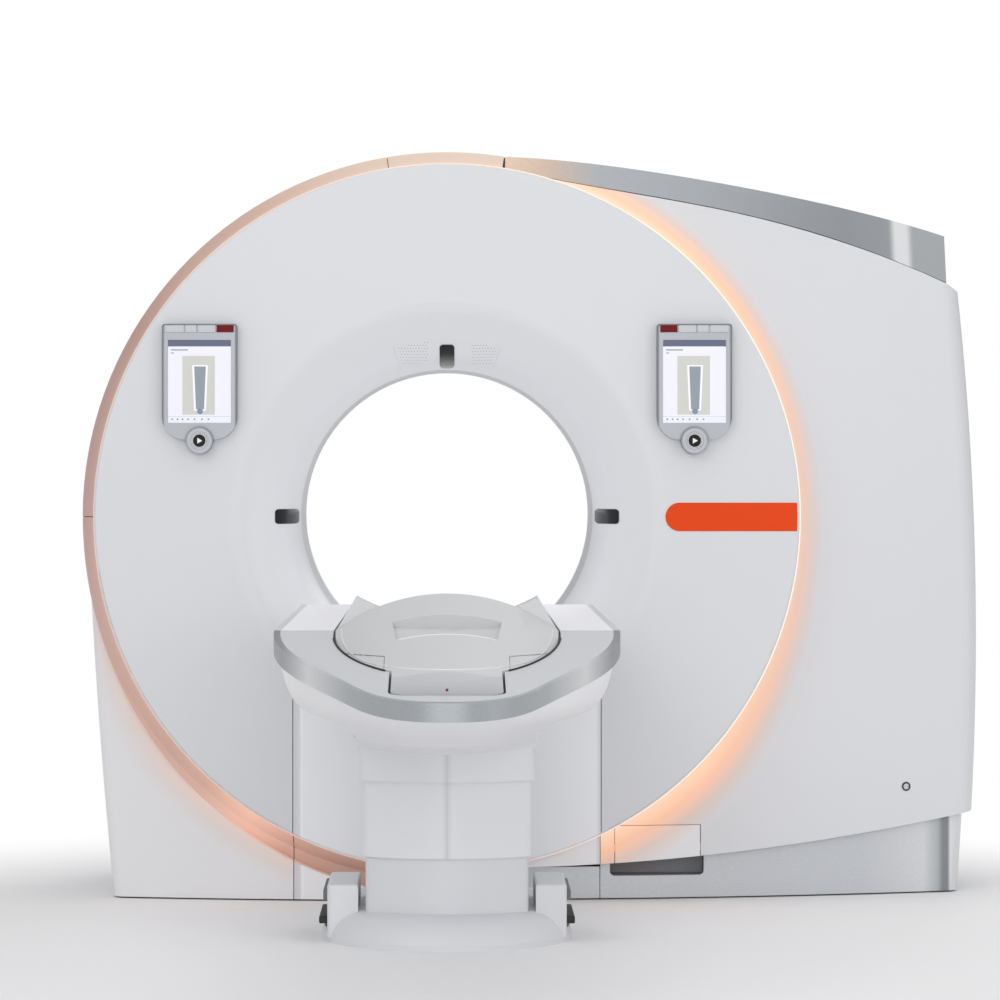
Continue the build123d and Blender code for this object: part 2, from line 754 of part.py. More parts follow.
def rotor():
    """Rotating drum with its bearing race, drive magnets, slip ring, tubes, detectors and power units."""
    front, back, edge = drum_front, drum_back, drum_radius
    save("rotor_drum", turned(make_face(Polyline(
        (bearing_bore, front), (edge - drum_rim, front), (edge - drum_rim, drum_lip_front),
        (edge, drum_lip_front), (edge, back), (bearing_bore + drum_hub, back),
        (bearing_bore + drum_hub, back + drum_hub_length), (bearing_bore, back + drum_hub_length),
        close=True))))
    race_back = upright_rear + seat * 10
    save("bearing_inner_race", ring(bearing_bore, bearing_split, back + 18, race_back))
    save("magnet_ring", ring(magnet_inner, magnet_outer, back, upright_front - seam))
    save("slip_ring", ring(bearing_bore, slip_ring_radius, race_back, race_back + slip_ring_width))
    tubes, shades, arcs = [], [], []
    middle_z = iso_height + collimator_radius
    low, high = middle_z - collimator_height / 2, middle_z + collimator_height / 2
    for angle, half in zip(tube_angles, detector_half_angles):
        middle_y = front - tube_length / 2
        body = Pos(0, middle_y, iso_height + unit_radius) * Rot(X=90) * Cylinder(tube_radius, tube_length)
        neck = box(-tube_radius / 2, tube_radius / 2, middle_y - neck_half, middle_y + neck_half,
                   high, iso_height + unit_radius)
        tubes.append(around(body + neck, angle))
        shade = box(-collimator_width / 2, collimator_width / 2, front - collimator_depth, front, low, high)
        slit = box(-collimator_width / 3, collimator_width / 3,
                   front - collimator_depth + slit_margin, front - slit_margin, low - 1, high)
        shades.append(around(shade - slit, angle))
        arc = ring(detector_inner, detector_outer, front - detector_depth, front)
        arcs.append(arc & wedge(angle + 180 - half, angle + 180 + half, front - 2 * detector_depth, front))
    save("tube_housings", *tubes)
    save("collimators", *shades)
    save("detectors", *arcs)
    unit = box(-unit_width / 2, unit_width / 2, front - unit_depth, front,
               iso_height + unit_radius - unit_height / 2, iso_height + unit_radius + unit_height / 2)
    save("power_units", *[around(unit, angle) for angle in (*generator_angles, exchanger_angle)])
    save("counterweight", around(unit, weight_angle))


def panel_sketch(width, top, bottom):
    """Front view of a touch panel: nearly square top corners, large bottom corners."""
    body = Pos(0, (top + bottom) / 2) * Rectangle(width, top - bottom)
    low = body.vertices().sort_by(Axis.Y)[:2]
    body = fillet(low, panel_chin)
    high = body.vertices().sort_by(Axis.Y)[-2:]
    return fillet(high, panel_corner)


def touch_panel(side, sign):
    """One touch panel: housing, screen, three pale keys, a red key, and the start button in its ring."""
    bottom = panel_top - panel_height
    x = sign * panel_x
    face = disc_front - panel_thickness
    housing = front_prism(Pos(x, 0) * panel_sketch(panel_width, panel_top, bottom), face, disc_front)
    boss = Pos(x, 0, knob_z) * Rot(X=90)
    boss_length = panel_thickness + knob_proud
    housing += Pos(0, disc_front - boss_length / 2, 0) * boss * Cylinder(knob_radius, boss_length)
    screen_z = screen_top - screen_height / 2
    pocket = box(x - screen_width / 2, x + screen_width / 2, face - 1, face + screen_pocket,
                 screen_z - screen_height / 2, screen_z + screen_height / 2)
    housing -= pocket
    screen = box(x - screen_width / 2 + seat, x + screen_width / 2 - seat, face + 1, face + screen_pocket,
                 screen_z - screen_height / 2 + seat, screen_z + screen_height / 2 - seat)
    cursor = panel_x - sum(key_widths) / 2 - key_pitch_gap * (len(key_widths) - 1) / 2
    keys = []
    for width in key_widths:
        middle = cursor + width / 2
        key_x = middle - 2 * panel_x if sign < 0 else 2 * panel_x - middle
        z = key_top - key_height / 2
        housing -= box(key_x - width / 2, key_x + width / 2, face - 1, face + key_pocket,
                       z - key_height / 2, z + key_height / 2)
        half, tall = width / 2 - key_clear, key_height / 2 - key_clear
        key_back = face + key_pocket - key_travel - key_clear
        keys.append(box(key_x - half, key_x + half, face - key_proud, key_back, z - tall, z + tall))
        cursor += width + key_pitch_gap
    for number, key in enumerate(keys[:-1], start=1):
        save(f"{side}_key_{number}", key)
    save(f"{side}_stop_key", keys[-1])
    deep = disc_front - boss_length
    well = start_travel + panel_thickness / 2
    housing -= Pos(0, deep - 1 + (well + 1) / 2, 0) * boss * Cylinder(start_radius, well + 1)
    length = well - start_travel - start_clear + start_proud
    button = Pos(0, deep - start_proud + length / 2, 0) * boss * Cylinder(start_radius - start_clear, length)
    save(f"{side}_start_button", button)
    return housing, screen


def rounded_end_plan(half_width, front_y, shoulder_y, rear_y):
    """Plan with straight sides and a front drawn out to a soft point, as the table's rim."""
    bend_x = end_bend_width * half_width
    bend_y = front_y + end_bend_length * (shoulder_y - front_y)
    left = Spline((-half_width, shoulder_y), (-bend_x, bend_y), (0, front_y), tangents=[(0, -1), (1, 0)])
    right = Spline((0, front_y), (bend_x, bend_y), (half_width, shoulder_y), tangents=[(1, 0), (0, 1)])
    sides = Polyline((half_width, shoulder_y), (half_width, rear_y), (-half_width, rear_y),
                     (-half_width, shoulder_y))
    return outline(left, right, sides)


def rim_slab(above, below):
    """Side-view band that follows the rim: level at the rear, falling towards the foot end."""
    slope = (rim_height - rim_front_height) / (table_seam - table_front)
    far = table_front - 60
    drop = slope * (table_seam - far)
    top, bottom = rim_height + above, rim_height - below
    face = make_face(Polyline(
        (far, top - drop), (table_seam, top), (table_rear + 60, top), (table_rear + 60, bottom),
        (table_seam, bottom),
        (far, bottom - drop), close=True))
    return side_prism(face, -table_half_width - 60, table_half_width + 60)


def column_plan(inset):
    """Plan of the lifting column: bowed front and rear, rounded corners."""
    half, front, rear = column_half_width - inset, column_front + inset, column_rear - inset
    face = outline(
        ThreePointArc((-half, front + column_bulge), (0, front), (half, front + column_bulge)),
        Line((half, front + column_bulge), (half, rear - column_bulge)),
        ThreePointArc((half, rear - column_bulge), (0, rear), (-half, rear - column_bulge)),
        Line((-half, rear - column_bulge), (-half, front + column_bulge)),
    )
    return fillet(face.vertices(), column_corner - inset)


def column_shell(inset, low, high):
    """One telescoping column cover."""
    outer = plan_prism(column_plan(inset), low, high)
    return outer - plan_prism(column_plan(inset + column_wall), low - 1, high + 1)


def guide_tube(order, low, high):
    """One square tube of the telescoping guide; order 0 is the outermost."""
    size = guide_size - 2 * order * (guide_wall + guide_clear)
    inside = size - 2 * guide_wall
    tube = Pos(0, guide_y) * Rectangle(size, size) - Pos(0, guide_y) * Rectangle(inside, inside)
    return plan_prism(tube, low, high)


def base_plan(grow):
    """Plan of the table's foot: straight sides with half-round ends."""
    radius = base_half_width + grow
    middle = (base_front_centre + base_rear_centre) / 2
    return Pos(0, middle) * Rot(Z=90) * SlotCenterToCenter(base_rear_centre - base_front_centre, 2 * radius)


def pedal_cheek(sign):
    """Raised cheek on one side of the foot that carries the two pedals of that side."""
    margin = 2 * cheek_round
    low_y, high_y = pedal_y - pedal_length / 2 - margin, pedal_y + pedal_length / 2 + margin
    block = box(cheek_inner, cheek_outer, low_y, high_y, base_plate_thickness + seat, cheek_top)
    block = fillet(block.edges().filter_by(Axis.Z).sort_by(Axis.X)[-2:], cheek_round)
    block = fillet(block.faces().sort_by(Axis.Z)[-1].edges(), cheek_round / 2)
    return block if sign > 0 else mirror(block, about=Plane.YZ)


def foot_pedal(sign, z, height, reach):
    """Pedal bar with a round inner edge on its hinge line, and the room that it swings in."""
    bar = Pos((pedal_axis_x + reach) / 2, z) * Rectangle(reach - pedal_axis_x, height)
    bar = fillet(bar.vertices().sort_by(Axis.X)[-2:], pedal_end_round)
    bar += Pos(pedal_axis_x, z) * Circle(height / 2)
    ends = (pedal_y - pedal_length / 2, pedal_y + pedal_length / 2)
    pedal = front_prism(bar, *ends)
    inner = pedal_axis_x - height / 2 - seat
    room = box(inner, reach + cheek_outer, ends[0] - seat, ends[1] + seat,
               z - height / 2 - pedal_room_below, z + height / 2 + seat)
    if sign > 0:
        return pedal, room
    return mirror(pedal, about=Plane.YZ), mirror(room, about=Plane.YZ)


def table_base():
    """Fixed foot of the table: floor plate with the outer guide tube, covers and pedals."""
    plate = plan_prism(base_plan(-3 * shell_wall), 0, base_plate_thickness)
    for x in (-table_anchor_x, table_anchor_x):
        for y in (guide_y - table_anchor_y, guide_y + table_anchor_y):
            plate -= Pos(x, y) * Cylinder(anchor_radius, 4 * base_plate_thickness)
    save("table_base_frame", plate + guide_tube(0, base_plate_thickness, lower_guide_top))
    steps = ((base_foot_height, 0), (base_shoulder_height, -base_shoulder), (base_top, -base_run))
    dome = loft([Plane.XY.offset(z) * base_plan(grow) for z, grow in steps])
    dome += plan_prism(base_plan(0), 0, base_foot_height)
    hollow = plan_prism(base_plan(-2 * shell_wall), -1, base_foot_height)
    hollow += loft([Plane.XY.offset(z - shell_wall * lift) * base_plan(grow - 2 * shell_wall)
                    for (z, grow), lift in zip(steps, (0, 1, 1))])
    dome -= hollow
    dome -= plan_prism(column_plan(2 * column_gap + 2 * column_wall - seat), base_top - 20, base_top + 1)
    lower = column_shell(2 * (column_wall + column_gap), base_top - 12, lower_cover_top)
    for side, sign in (("left", -1), ("right", 1)):
        dome += pedal_cheek(sign)
        for level, z, height, reach in pedal_levels:
            pedal, room = foot_pedal(sign, z, height, reach)
            dome -= room
            save(f"{side}_{level}_pedal", pedal)
    channel_end = cover_surface_y(channel_half) - seat
    channel = box(-channel_half, channel_half, base_rear_centre + base_half_width - 20, channel_end,
                  0, channel_height)
    channel -= box(-channel_half + shell_wall, channel_half - shell_wall, base_rear_centre, channel_end + 1,
                   -1, channel_height - shell_wall)
    save("table_base_cover", dome + (channel - plan_prism(base_plan(-shell_wall), -1, channel_height)))
    save("column_lower_cover", lower)
    save("column_middle_cover", column_shell(column_wall + column_gap, middle_cover_bottom, middle_cover_top))
    save("guide_middle", guide_tube(1, middle_guide_bottom, middle_guide_top))


def bowl(inset):
    """Underside of the table: plans lofted from the column up to the rim, inset by a wall."""
    plans = []
    for z, half_width, front_y, shoulder_y in bowl_plans:
        rear_y = column_rear - bowl_rear_grow * (z - bowl_bottom) / (rim_height - bowl_bottom)
        face = rounded_end_plan(half_width - inset, front_y + inset, shoulder_y, rear_y - inset)
        plans.append(Plane.XY.offset(z) * face)
    return loft(plans)


def table_lift():
    """Everything that rises with the table: upper column cover, frame, bowl, silver band and top covers."""
    save("column_upper_cover", column_shell(0, upper_cover_bottom, frame_bottom - seat))
    frame = guide_tube(2, upper_guide_bottom, frame_bottom)
    frame += box(-beam_x - beam_width / 2, beam_x + beam_width / 2, column_front, column_rear,
                 frame_bottom, frame_bottom + frame_plate)
    for x in (-beam_x, beam_x):
        beam = box(x - beam_width / 2, x + beam_width / 2, beam_front, beam_rear, frame_bottom, beam_top)
        frame += beam + box(x - rail_width / 2, x + rail_width / 2, rail_front, beam_rear, beam_top, rail_top)
    for y in (beam_front, beam_rear - tie_width):
        frame += box(-beam_x, beam_x, y, y + tie_width, frame_bottom, frame_bottom + frame_plate)
    save("table_frame", frame)
    rim = rounded_end_plan(table_half_width, table_front, table_seam, table_rear)
    inner = rounded_end_plan(table_half_width - band_thickness, table_front + band_thickness, table_seam,
                             table_rear + 1)
    band = plan_prism(rim, 500, 900) - plan_prism(inner, 499, 901)
    save("silver_band", band & rim_slab(0, band_height))
    under = bowl(0) - bowl(shell_wall)
    under -= rim_slab(2 * band_height + rim_height - rim_front_height, band_height + seat)
    gate = box(-cap_half_width - cap_gap, cap_half_width + cap_gap, beam_rear, table_rear + 50,
               gate_bottom, rim_height)
    save("housing_underbody", under - plan_prism(column_plan(-seat), 0, frame_bottom) - gate)
    top_inset = band_thickness + seat
    top_plan = rounded_end_plan(table_half_width - top_inset, table_front + top_inset, table_seam, table_rear)
    top = plan_prism(top_plan, 500, 900) & rim_slab(0, top_thickness)
    opening = cap_opening(cap_gap)
    front_zone = box(-500, 500, table_front - 50, table_seam - seam / 2, 0, 1000)
    save("top_front_cover", (top & front_zone) - opening)
    save("top_rear_cover", (top & box(-500, 500, table_seam + seam / 2, table_rear, 0, 1000)) - opening)


def cap_plan(grow):
    """Plan of the foot-end cap and its tongue, and the straight channel behind them."""
    half = cap_half_width + grow
    oval = (Pos(0, cap_back) * Ellipse(half, cap_reach + grow)) & (Pos(0, cap_back - cap_reach) * Rectangle(
        3 * half, 2 * cap_reach))
    reach = cap_back - cap_reach / 2 - (tongue_end - grow)
    tongue = Pos(0, tongue_end - grow + reach / 2) * Rectangle(2 * (tongue_half_width + grow), reach)
    tongue = fillet(tongue.vertices().sort_by(Axis.Y)[:2], tongue_corner + grow)
    return oval + tongue


def cap_opening(grow):
    """Opening in the top covers: the cap's plan and the channel that the tabletop slides through."""
    half = cap_half_width + grow
    channel = box(-half, half, cap_back, table_rear + 50, 500, 900)
    return plan_prism(cap_plan(grow), 500, 900) + channel


def end_cap():
    """Foot-end cap: an oval under a sloping arched face, a tongue down to the rim, and a handle recess."""
    slope_angle = atan(cap_slope)
    run = 3 * cap_reach
    tilt = Pos(0, cap_back, cap_peak) * Rot(X=degrees(slope_angle))
    crown = tilt * Pos(0, 0, -cap_arch_radius) * Rot(X=90) * Cylinder(cap_arch_radius, 2 * run)
    body = plan_prism(cap_plan(0), tongue_bottom, cap_peak + 50)
    oval = body & crown
    fall = (rim_height - rim_front_height) / (table_seam - table_front)
    face_z = rim_height - fall * (table_seam - tongue_end)
    rise = fall * (tongue_rear - tongue_end)
    tongue_side = make_face(Polyline((tongue_end - 10, tongue_bottom), (tongue_end - 10, face_z),
                                     (tongue_rear, face_z + rise), (tongue_rear, tongue_bottom), close=True))
    tongue = side_prism(tongue_side, -tongue_half_width, tongue_half_width) & body
    sides_clear = box(-500, -cap_belly_half, -4000, 0, 0, cradle_base)
    sides_clear += box(cap_belly_half, 500, -4000, 0, 0, cradle_base)
    cap = (oval + tongue) - sides_clear
    recess = make_face(Polyline(
        (-handle_half_front, -handle_front), (handle_half_front, -handle_front),
        (handle_half_back, -handle_back), (-handle_half_back, -handle_back), close=True))
    pocket = tilt * Pos(0, 0, -handle_depth - handle_sink) * extrude(recess, amount=100)
    return cap - pocket


def tabletop_pieces():
    """Sliding tabletop: concave cradle, its foot-end cap and the carriage on the rails."""
    half, edge = cap_half_width, cradle_edge_half
    section = outline(
        Polyline((-cradle_base_half, cradle_base), (-half, rim_height), (-edge, cradle_top)),
        ThreePointArc((-edge, cradle_top), (0, cradle_top - cradle_dip), (edge, cradle_top)),
        Polyline((edge, cradle_top), (half, rim_height), (cradle_base_half, cradle_base),
                 (-cradle_base_half, cradle_base)),
    )
    save("tabletop", front_prism(section, cap_back + seat, top_rear_end))
    save("end_cap", end_cap())
    low, high = rail_top - rail_grip, cradle_base - seat
    span = (carriage_front, carriage_front + carriage_length)
    carriage = box(-beam_x, beam_x, span[1] - tie_width, span[1], rail_top + seat, high)
    for x in (-beam_x, beam_x):
        half_rail = rail_width / 2 + seat
        bar = box(x - beam_width / 2, x + beam_width / 2, *span, low, high)
        slot = box(x - half_rail, x + half_rail, span[0] - 1, span[1] + 1, low - 1, rail_top + seat)
        carriage += bar - slot
    save("slide_carriage", carriage)


os.makedirs("parts", exist_ok=True)
front_disc = laser_windows(gantry_covers())
save("front_disc_cover", front_disc)
rear_covers()
stripe()
gantry_frame()
rotor()
panels = [touch_panel("left", -1), touch_panel("right", 1)]
save("panel_housings", *[housing for housing, screen in panels])
save("panel_screens", *[screen for housing, screen in panels])
table_base()
table_lift()
tabletop_pieces()
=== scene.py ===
"""CT scanner: finishes, screen graphics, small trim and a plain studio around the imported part."""
import math

import bpy
import numpy as np
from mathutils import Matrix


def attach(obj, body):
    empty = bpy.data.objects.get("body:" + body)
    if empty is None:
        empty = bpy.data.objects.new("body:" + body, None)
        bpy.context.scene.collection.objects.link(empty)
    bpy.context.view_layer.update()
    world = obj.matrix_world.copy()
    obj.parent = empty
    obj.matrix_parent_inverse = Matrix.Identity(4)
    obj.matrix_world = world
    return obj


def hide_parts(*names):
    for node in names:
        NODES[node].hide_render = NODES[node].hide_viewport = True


bl_info = {
    "name": "CT scanner finishes",
    "version": (1, 0, 0),
    "blender": (4, 5, 0),
    "location": "View3D > Sidebar > CT scanner",
    "description": "Finishes, screens, small trim and studio for a CT scanner and its patient table",
    "category": "Object",
}

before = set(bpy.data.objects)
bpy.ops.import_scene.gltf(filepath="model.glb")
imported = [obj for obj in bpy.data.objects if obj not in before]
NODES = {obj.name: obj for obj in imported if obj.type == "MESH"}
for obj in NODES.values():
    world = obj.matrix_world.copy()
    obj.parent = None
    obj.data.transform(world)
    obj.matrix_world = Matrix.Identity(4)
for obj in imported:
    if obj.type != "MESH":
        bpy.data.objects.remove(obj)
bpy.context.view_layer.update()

# All lengths are in metres. The bore's centre, and the bell mouth that the small trim lies on.
ISO_HEIGHT = 1.005
DISC_FRONT = -0.440
MOUTH_RADIUS = 0.560
BORE_RADIUS = 0.390
THROAT = -0.180
DISC_RADIUS = 0.918

# Where the covers' front stands, how far back the edge light reaches on them, the lock, the brightest spot
# of the rim, and the angles of the rim's gaps in degrees.
COVER_FRONT = -0.395
LIT_FRONT = -0.345
LIT_REAR = -0.230
COVER_RADIUS = 4.545
LOCK_PLACE = (1.219, -0.229, 0.287)
BRIGHT_SPOT = (-0.516, -0.40, 0.227)
RIM_GAPS = (81.0, 99.5, 180.0)

# The touch panels: their middle, the knob's height, and the front of the screen and of the printed marks.
PANEL_X = 0.642
KNOB_Z = 1.203
SCREEN_TOP = 1.465
SCREEN_HALF = 0.082
SCREEN_FRONT = -0.4652
PRINT_DEPTH = 0.0005

# The table's cap, the rim that slopes down round it, and the small lamp at the foot end.
CAP_BACK = -2.249
CAP_HALF = 0.237
CAP_REACH = 0.441
CAP_PEAK = 0.864
CAP_SLOPE = 0.33
CAP_TILT = math.atan(CAP_SLOPE)
CAP_ARCH = 0.416
TONGUE_HALF = 0.1290
CRADLE_BASE = 0.745
RIM_TOP = 0.784
RIM_BEND = -2.214
RIM_SLOPE = 0.1583
LAMP_Z = 0.693
LAMP_RADIUS = 0.003

SIDES = (("left", -1), ("right", 1))


def linear(text):
    """Linear RGBA of an sRGB hex colour."""
    channels = [int(text[i:i + 2], 16) / 255 for i in (1, 3, 5)]
    return tuple(c / 12.92 if c <= 0.04045 else ((c + 0.055) / 1.055) ** 2.4 for c in channels) + (1.0,)


def add(tree, kind, inputs=None, **settings):
    """Adds one shader node with its settings; an input is a value or another node's output."""
    made = tree.nodes.new(kind)
    for name, value in settings.items():
        setattr(made, name, value)
    for socket, value in (inputs or {}).items():
        if isinstance(value, bpy.types.NodeSocket):
            tree.links.new(value, made.inputs[socket])
        else:
            made.inputs[socket].default_value = value
    return made


def new_material(name, color, roughness, metallic=0.0, **sockets):
    """A material with one Principled shader; gives it back with its tree, shader and Object coordinates."""
    material = bpy.data.materials.new(name)
    material.use_nodes = True
    tree = material.node_tree
    shader = tree.nodes["Principled BSDF"]
    shader.inputs["Base Color"].default_value = linear(color)
    shader.inputs["Roughness"].default_value = roughness
    shader.inputs["Metallic"].default_value = metallic
    for socket, value in sockets.items():
        shader.inputs[socket.replace("_", " ")].default_value = value
    place = add(tree, "ShaderNodeTexCoord").outputs["Object"]
    return material, tree, shader, place


def shades(tree, value, stops):
    """Colour that follows a measured value: stops of the value and its colour, blended in between."""
    low, high = stops[0][0], stops[-1][0]
    share = add(tree, "ShaderNodeMapRange", {"Value": value, "From Min": low, "From Max": high})
    ramp = add(tree, "ShaderNodeValToRGB", {"Fac": share.outputs["Result"]})
    elements = ramp.color_ramp.elements
    elements.remove(elements[-1])
    elements[0].position, elements[0].color = 0.0, linear(stops[0][1])
    for at, color in stops[1:]:
        elements.new((at - low) / (high - low)).color = linear(color)
    return ramp.outputs["Color"]


def bore_distance(tree, place):
    """Distance of a point from the axis of the bore."""
    moved = add(tree, "ShaderNodeVectorMath", {0: place, 1: (0, 0, ISO_HEIGHT)}, operation="SUBTRACT")
    flat = add(tree, "ShaderNodeVectorMath", {0: moved.outputs[0], 1: (1, 0, 1)}, operation="MULTIPLY")
    return add(tree, "ShaderNodeVectorMath", {0: flat.outputs[0]}, operation="LENGTH").outputs["Value"]


def fine_bump(tree, shader, place, scale, distance, detail=2.0):
    """Small relief from noise, such as the orange peel of paint or the grain of moulded plastic."""
    noise = add(tree, "ShaderNodeTexNoise", {"Vector": place, "Scale": scale, "Detail": detail})
    bump = add(tree, "ShaderNodeBump", {"Height": noise.outputs[0], "Distance": distance, "Strength": 0.5})
    tree.links.new(bump.outputs[0], shader.inputs["Normal"])
    return noise.outputs[0]


def paint(material, *names):
    """Gives the CAD nodes this material in place of their own."""
    for name in names:
        mesh = NODES[name].data
        mesh.materials.clear()
        mesh.materials.append(material)


def piece(name, points, faces, material, body, smooth=False):
    """A new mesh from arrays of points and faces, riding on a body."""
    mesh = bpy.data.meshes.new(name)
    mesh.from_pydata(np.asarray(points, float).tolist(), [], [list(map(int, f)) for f in faces])
    mesh.update()
    if smooth:
        mesh.polygons.foreach_set("use_smooth", np.ones(len(mesh.polygons), bool))
    mesh.materials.append(material)
    made = bpy.data.objects.new(name, mesh)
    bpy.context.scene.collection.objects.link(made)
    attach(made, body)
    return made


def sweep(sections, ring=False):
    """Closed surface through equal sections: quads from each to the next, its ends capped or met in a ring.

    The sum of the corner products gives the signed volume, and the faces are turned when it is below zero.
    """
    grid = np.asarray(sections, float)
    count, around = grid.shape[:2]
    index = np.arange(count * around).reshape(count, around)
    here = index if ring else index[:-1]
    ahead = np.roll(index, -1, axis=0) if ring else index[1:]
    quads = np.stack([here, np.roll(here, -1, axis=1), np.roll(ahead, -1, axis=1), ahead], axis=-1)
    faces = quads.reshape(-1, 4).tolist()
    if not ring:
        faces += [index[0][::-1].tolist(), index[-1].tolist()]
    points = grid.reshape(-1, 3)
    middle = points.mean(axis=0)
    volume = 0.0
    for face in faces:
        corners = points[face] - middle
        products = np.cross(corners[1:-1], corners[2:])
        volume += np.einsum("ij,ij->", products, np.broadcast_to(corners[0], products.shape))
    return points, faces if volume > 0 else [face[::-1] for face in faces]


def joined(parts):
    """Several surfaces as one: points one after the other, and face numbers moved on to match."""
    starts = np.cumsum([0] + [len(points) for points, _ in parts[:-1]])
    faces = [[int(start) + i for i in face] for start, (_, own) in zip(starts, parts) for face in own]
    return np.concatenate([points for points, _ in parts]), faces


def upright(outline, front, thickness):
    """Upright plate: an outline of X and Z at its front and again at its rear."""
    flat = np.asarray(outline, float)
    return sweep([np.column_stack([flat[:, 0], np.full(len(flat), y), flat[:, 1]])
                  for y in (front, front + thickness)])


def block(x0, x1, y0, y1, z0, z1):
    """Block between two corners, the section at x0 swept to x1; y0 may be a pair, at x0 and at x1."""
    first, last = y0 if isinstance(y0, tuple) else (y0, y0)
    return sweep([[(x, y, z0), (x, y1, z0), (x, y1, z1), (x, y, z1)] for x, y in ((x0, first), (x1, last))])


def rectangle(x0, z0, x1, z1):
    """Corners of an upright rectangle."""
    return [(x0, z0), (x1, z0), (x1, z1), (x0, z1)]


def circle(x, z, radius, count=32):
    """Points of a circle: the centre plus the radius times cosine and sine of equal angles."""
    turn = np.linspace(0, 2 * math.pi, count, endpoint=False)
    return np.column_stack([x + radius * np.cos(turn), z + radius * np.sin(turn)])


def hoop(x, z, inner, outer, front, thickness, count=48):
    """Flat ring facing the viewer: a rectangular section carried round its centre at equal angles."""
    turn = np.linspace(0, 2 * math.pi, count, endpoint=False)[:, None]
    radius = np.array([inner, outer, outer, inner])[None, :]
    depth = np.array([front, front, front + thickness, front + thickness])[None, :] + 0 * turn
    return sweep(np.stack([x + radius * np.cos(turn), depth, z + radius * np.sin(turn)], axis=-1), ring=True)


def cord(path, radius, count=10):
    """Round bar along a path: circles square to the way, from the sideways and the upward direction there."""
    path = np.asarray(path, float)
    way = np.gradient(path, axis=0)
    way /= np.linalg.norm(way, axis=1)[:, None]
    side = np.cross(way, (0, 0, 1))
    side /= np.linalg.norm(side, axis=1)[:, None]
    rise = np.cross(side, way)
    turn = np.linspace(0, 2 * math.pi, count, endpoint=False)[None, :, None]
    return sweep(path[:, None] + radius * (np.cos(turn) * side[:, None] + np.sin(turn) * rise[:, None]))


def cover_front(x):
    """Y of the gantry covers' front: a wide arc in plan."""
    return COVER_FRONT + COVER_RADIUS - np.sqrt(COVER_RADIUS ** 2 - np.square(x))


def mouth_depth(radius):
    """Y of the bell mouth: a quarter ellipse from the flat face down to the throat."""
    share = np.clip((MOUTH_RADIUS - radius) / (MOUTH_RADIUS - BORE_RADIUS), 0, 1)
    return THROAT + (DISC_FRONT - THROAT) * np.sqrt(1 - share ** 2)


class ScannerColours(bpy.types.PropertyGroup):
    """Colours that a user would change."""
    cover: bpy.props.StringProperty(name="Covers", description="Satin white of the moulded covers",
                                    default="#d7d8db")
    silver: bpy.props.StringProperty(name="Silver", description="Brushed silver trim", default="#cdd0d4")
    strip: bpy.props.StringProperty(name="Strip", description="Bare coloured strip", default="#e64400")
    screen: bpy.props.StringProperty(name="Screen", description="Lit ground of the screens",
                                     default="#dedee8")


class ScannerTrim(bpy.types.PropertyGroup):
    """Sizes of the small trim."""
    hole: bpy.props.FloatProperty(name="Sound hole", description="Diameter of a hole in the speaker trim",
                                  default=0.0028, unit="LENGTH")
    pitch: bpy.props.FloatProperty(name="Hole pitch", description="Distance between sound holes",
                                   default=0.0075, unit="LENGTH")


class ScannerStage(bpy.types.PropertyGroup):
    """Studio sizes."""
    key: bpy.props.FloatProperty(name="Key light", description="Power that the studio lights are shares of",
                                 default=130.0, unit="POWER")
    fill: bpy.props.FloatProperty(name="Fill", description="Strength of the even light all round",
                                  default=0.60)


def mouth_light(tree, shader, place):
    """Painted light on the pale bell mouth: a weak grey glow by distance from the bore's axis, for the room
    light that it gathers.
    """
    stops = ((0.380, "#4a4a4b"), (0.400, "#6c6c6e"), (0.430, "#767678"), (0.480, "#5a5a5b"),
             (0.530, "#303031"), (0.575, "#000000"))
    gathered = shades(tree, bore_distance(tree, place), stops)
    tree.links.new(gathered, shader.inputs["Emission Color"])
    shader.inputs["Emission Strength"].default_value = 1.0


def cover_paint(name, roughness=0.38, glow=0.0, bands=(), mouth=False, color=None):
    """Painted polyurethane cover, satin white: soft broad highlights and a faint orange peel.

    With a glow, light from the strip in the disc's edge is painted on it, warm and fading outwards, wider low
    down.
    Bands are stops of X and colour, painted light and shade across a part, such as at the rounded joint beside
    the centre panel.
    """
    cover = color or bpy.context.scene.scanner_colours.cover
    material, tree, shader, place = new_material(name, cover, roughness, IOR=1.5)
    fine_bump(tree, shader, place, 260.0, 0.00004)
    axes = add(tree, "ShaderNodeSeparateXYZ", {0: place}).outputs
    if bands:
        tree.links.new(shades(tree, axes["X"], bands), shader.inputs["Base Color"])
    if mouth:
        mouth_light(tree, shader, place)
    if glow:
        from_bore = bore_distance(tree, place)
        beyond = add(tree, "ShaderNodeMath", {0: from_bore, 1: DISC_RADIUS}, operation="SUBTRACT")
        spread = add(tree, "ShaderNodeMapRange", {"Value": axes["Z"], "From Min": 0.35, "From Max": 1.0,
                                                  "To Min": 0.55, "To Max": 1.0})
        away = add(tree, "ShaderNodeMath", {0: beyond.outputs[0], 1: spread.outputs[0]}, operation="MULTIPLY")
        warm = shades(tree, away.outputs[0],
                      ((-0.002, cover), (0.0, "#e0cab6"), (0.028, "#dfc3ab"), (0.075, cover)))
        reach = {"Value": axes["Y"], "From Min": LIT_FRONT, "From Max": LIT_REAR, "To Min": glow, "To Max": 0.0}
        ahead = add(tree, "ShaderNodeMapRange", reach).outputs[0]
        tint = add(tree, "ShaderNodeMix", {0: ahead, 6: linear(cover), 7: warm}, data_type="RGBA")
        tree.links.new(tint.outputs[2], shader.inputs["Base Color"])
        light = shades(tree, away.outputs[0], ((-0.001, "#000000"), (0.0, "#b08f80"), (0.012, "#a5765a"),
                                               (0.030, "#94583a"), (0.052, "#4a2b20"), (0.082, "#000000")))
        tree.links.new(light, shader.inputs["Emission Color"])
        tree.links.new(ahead, shader.inputs["Emission Strength"])
    return material


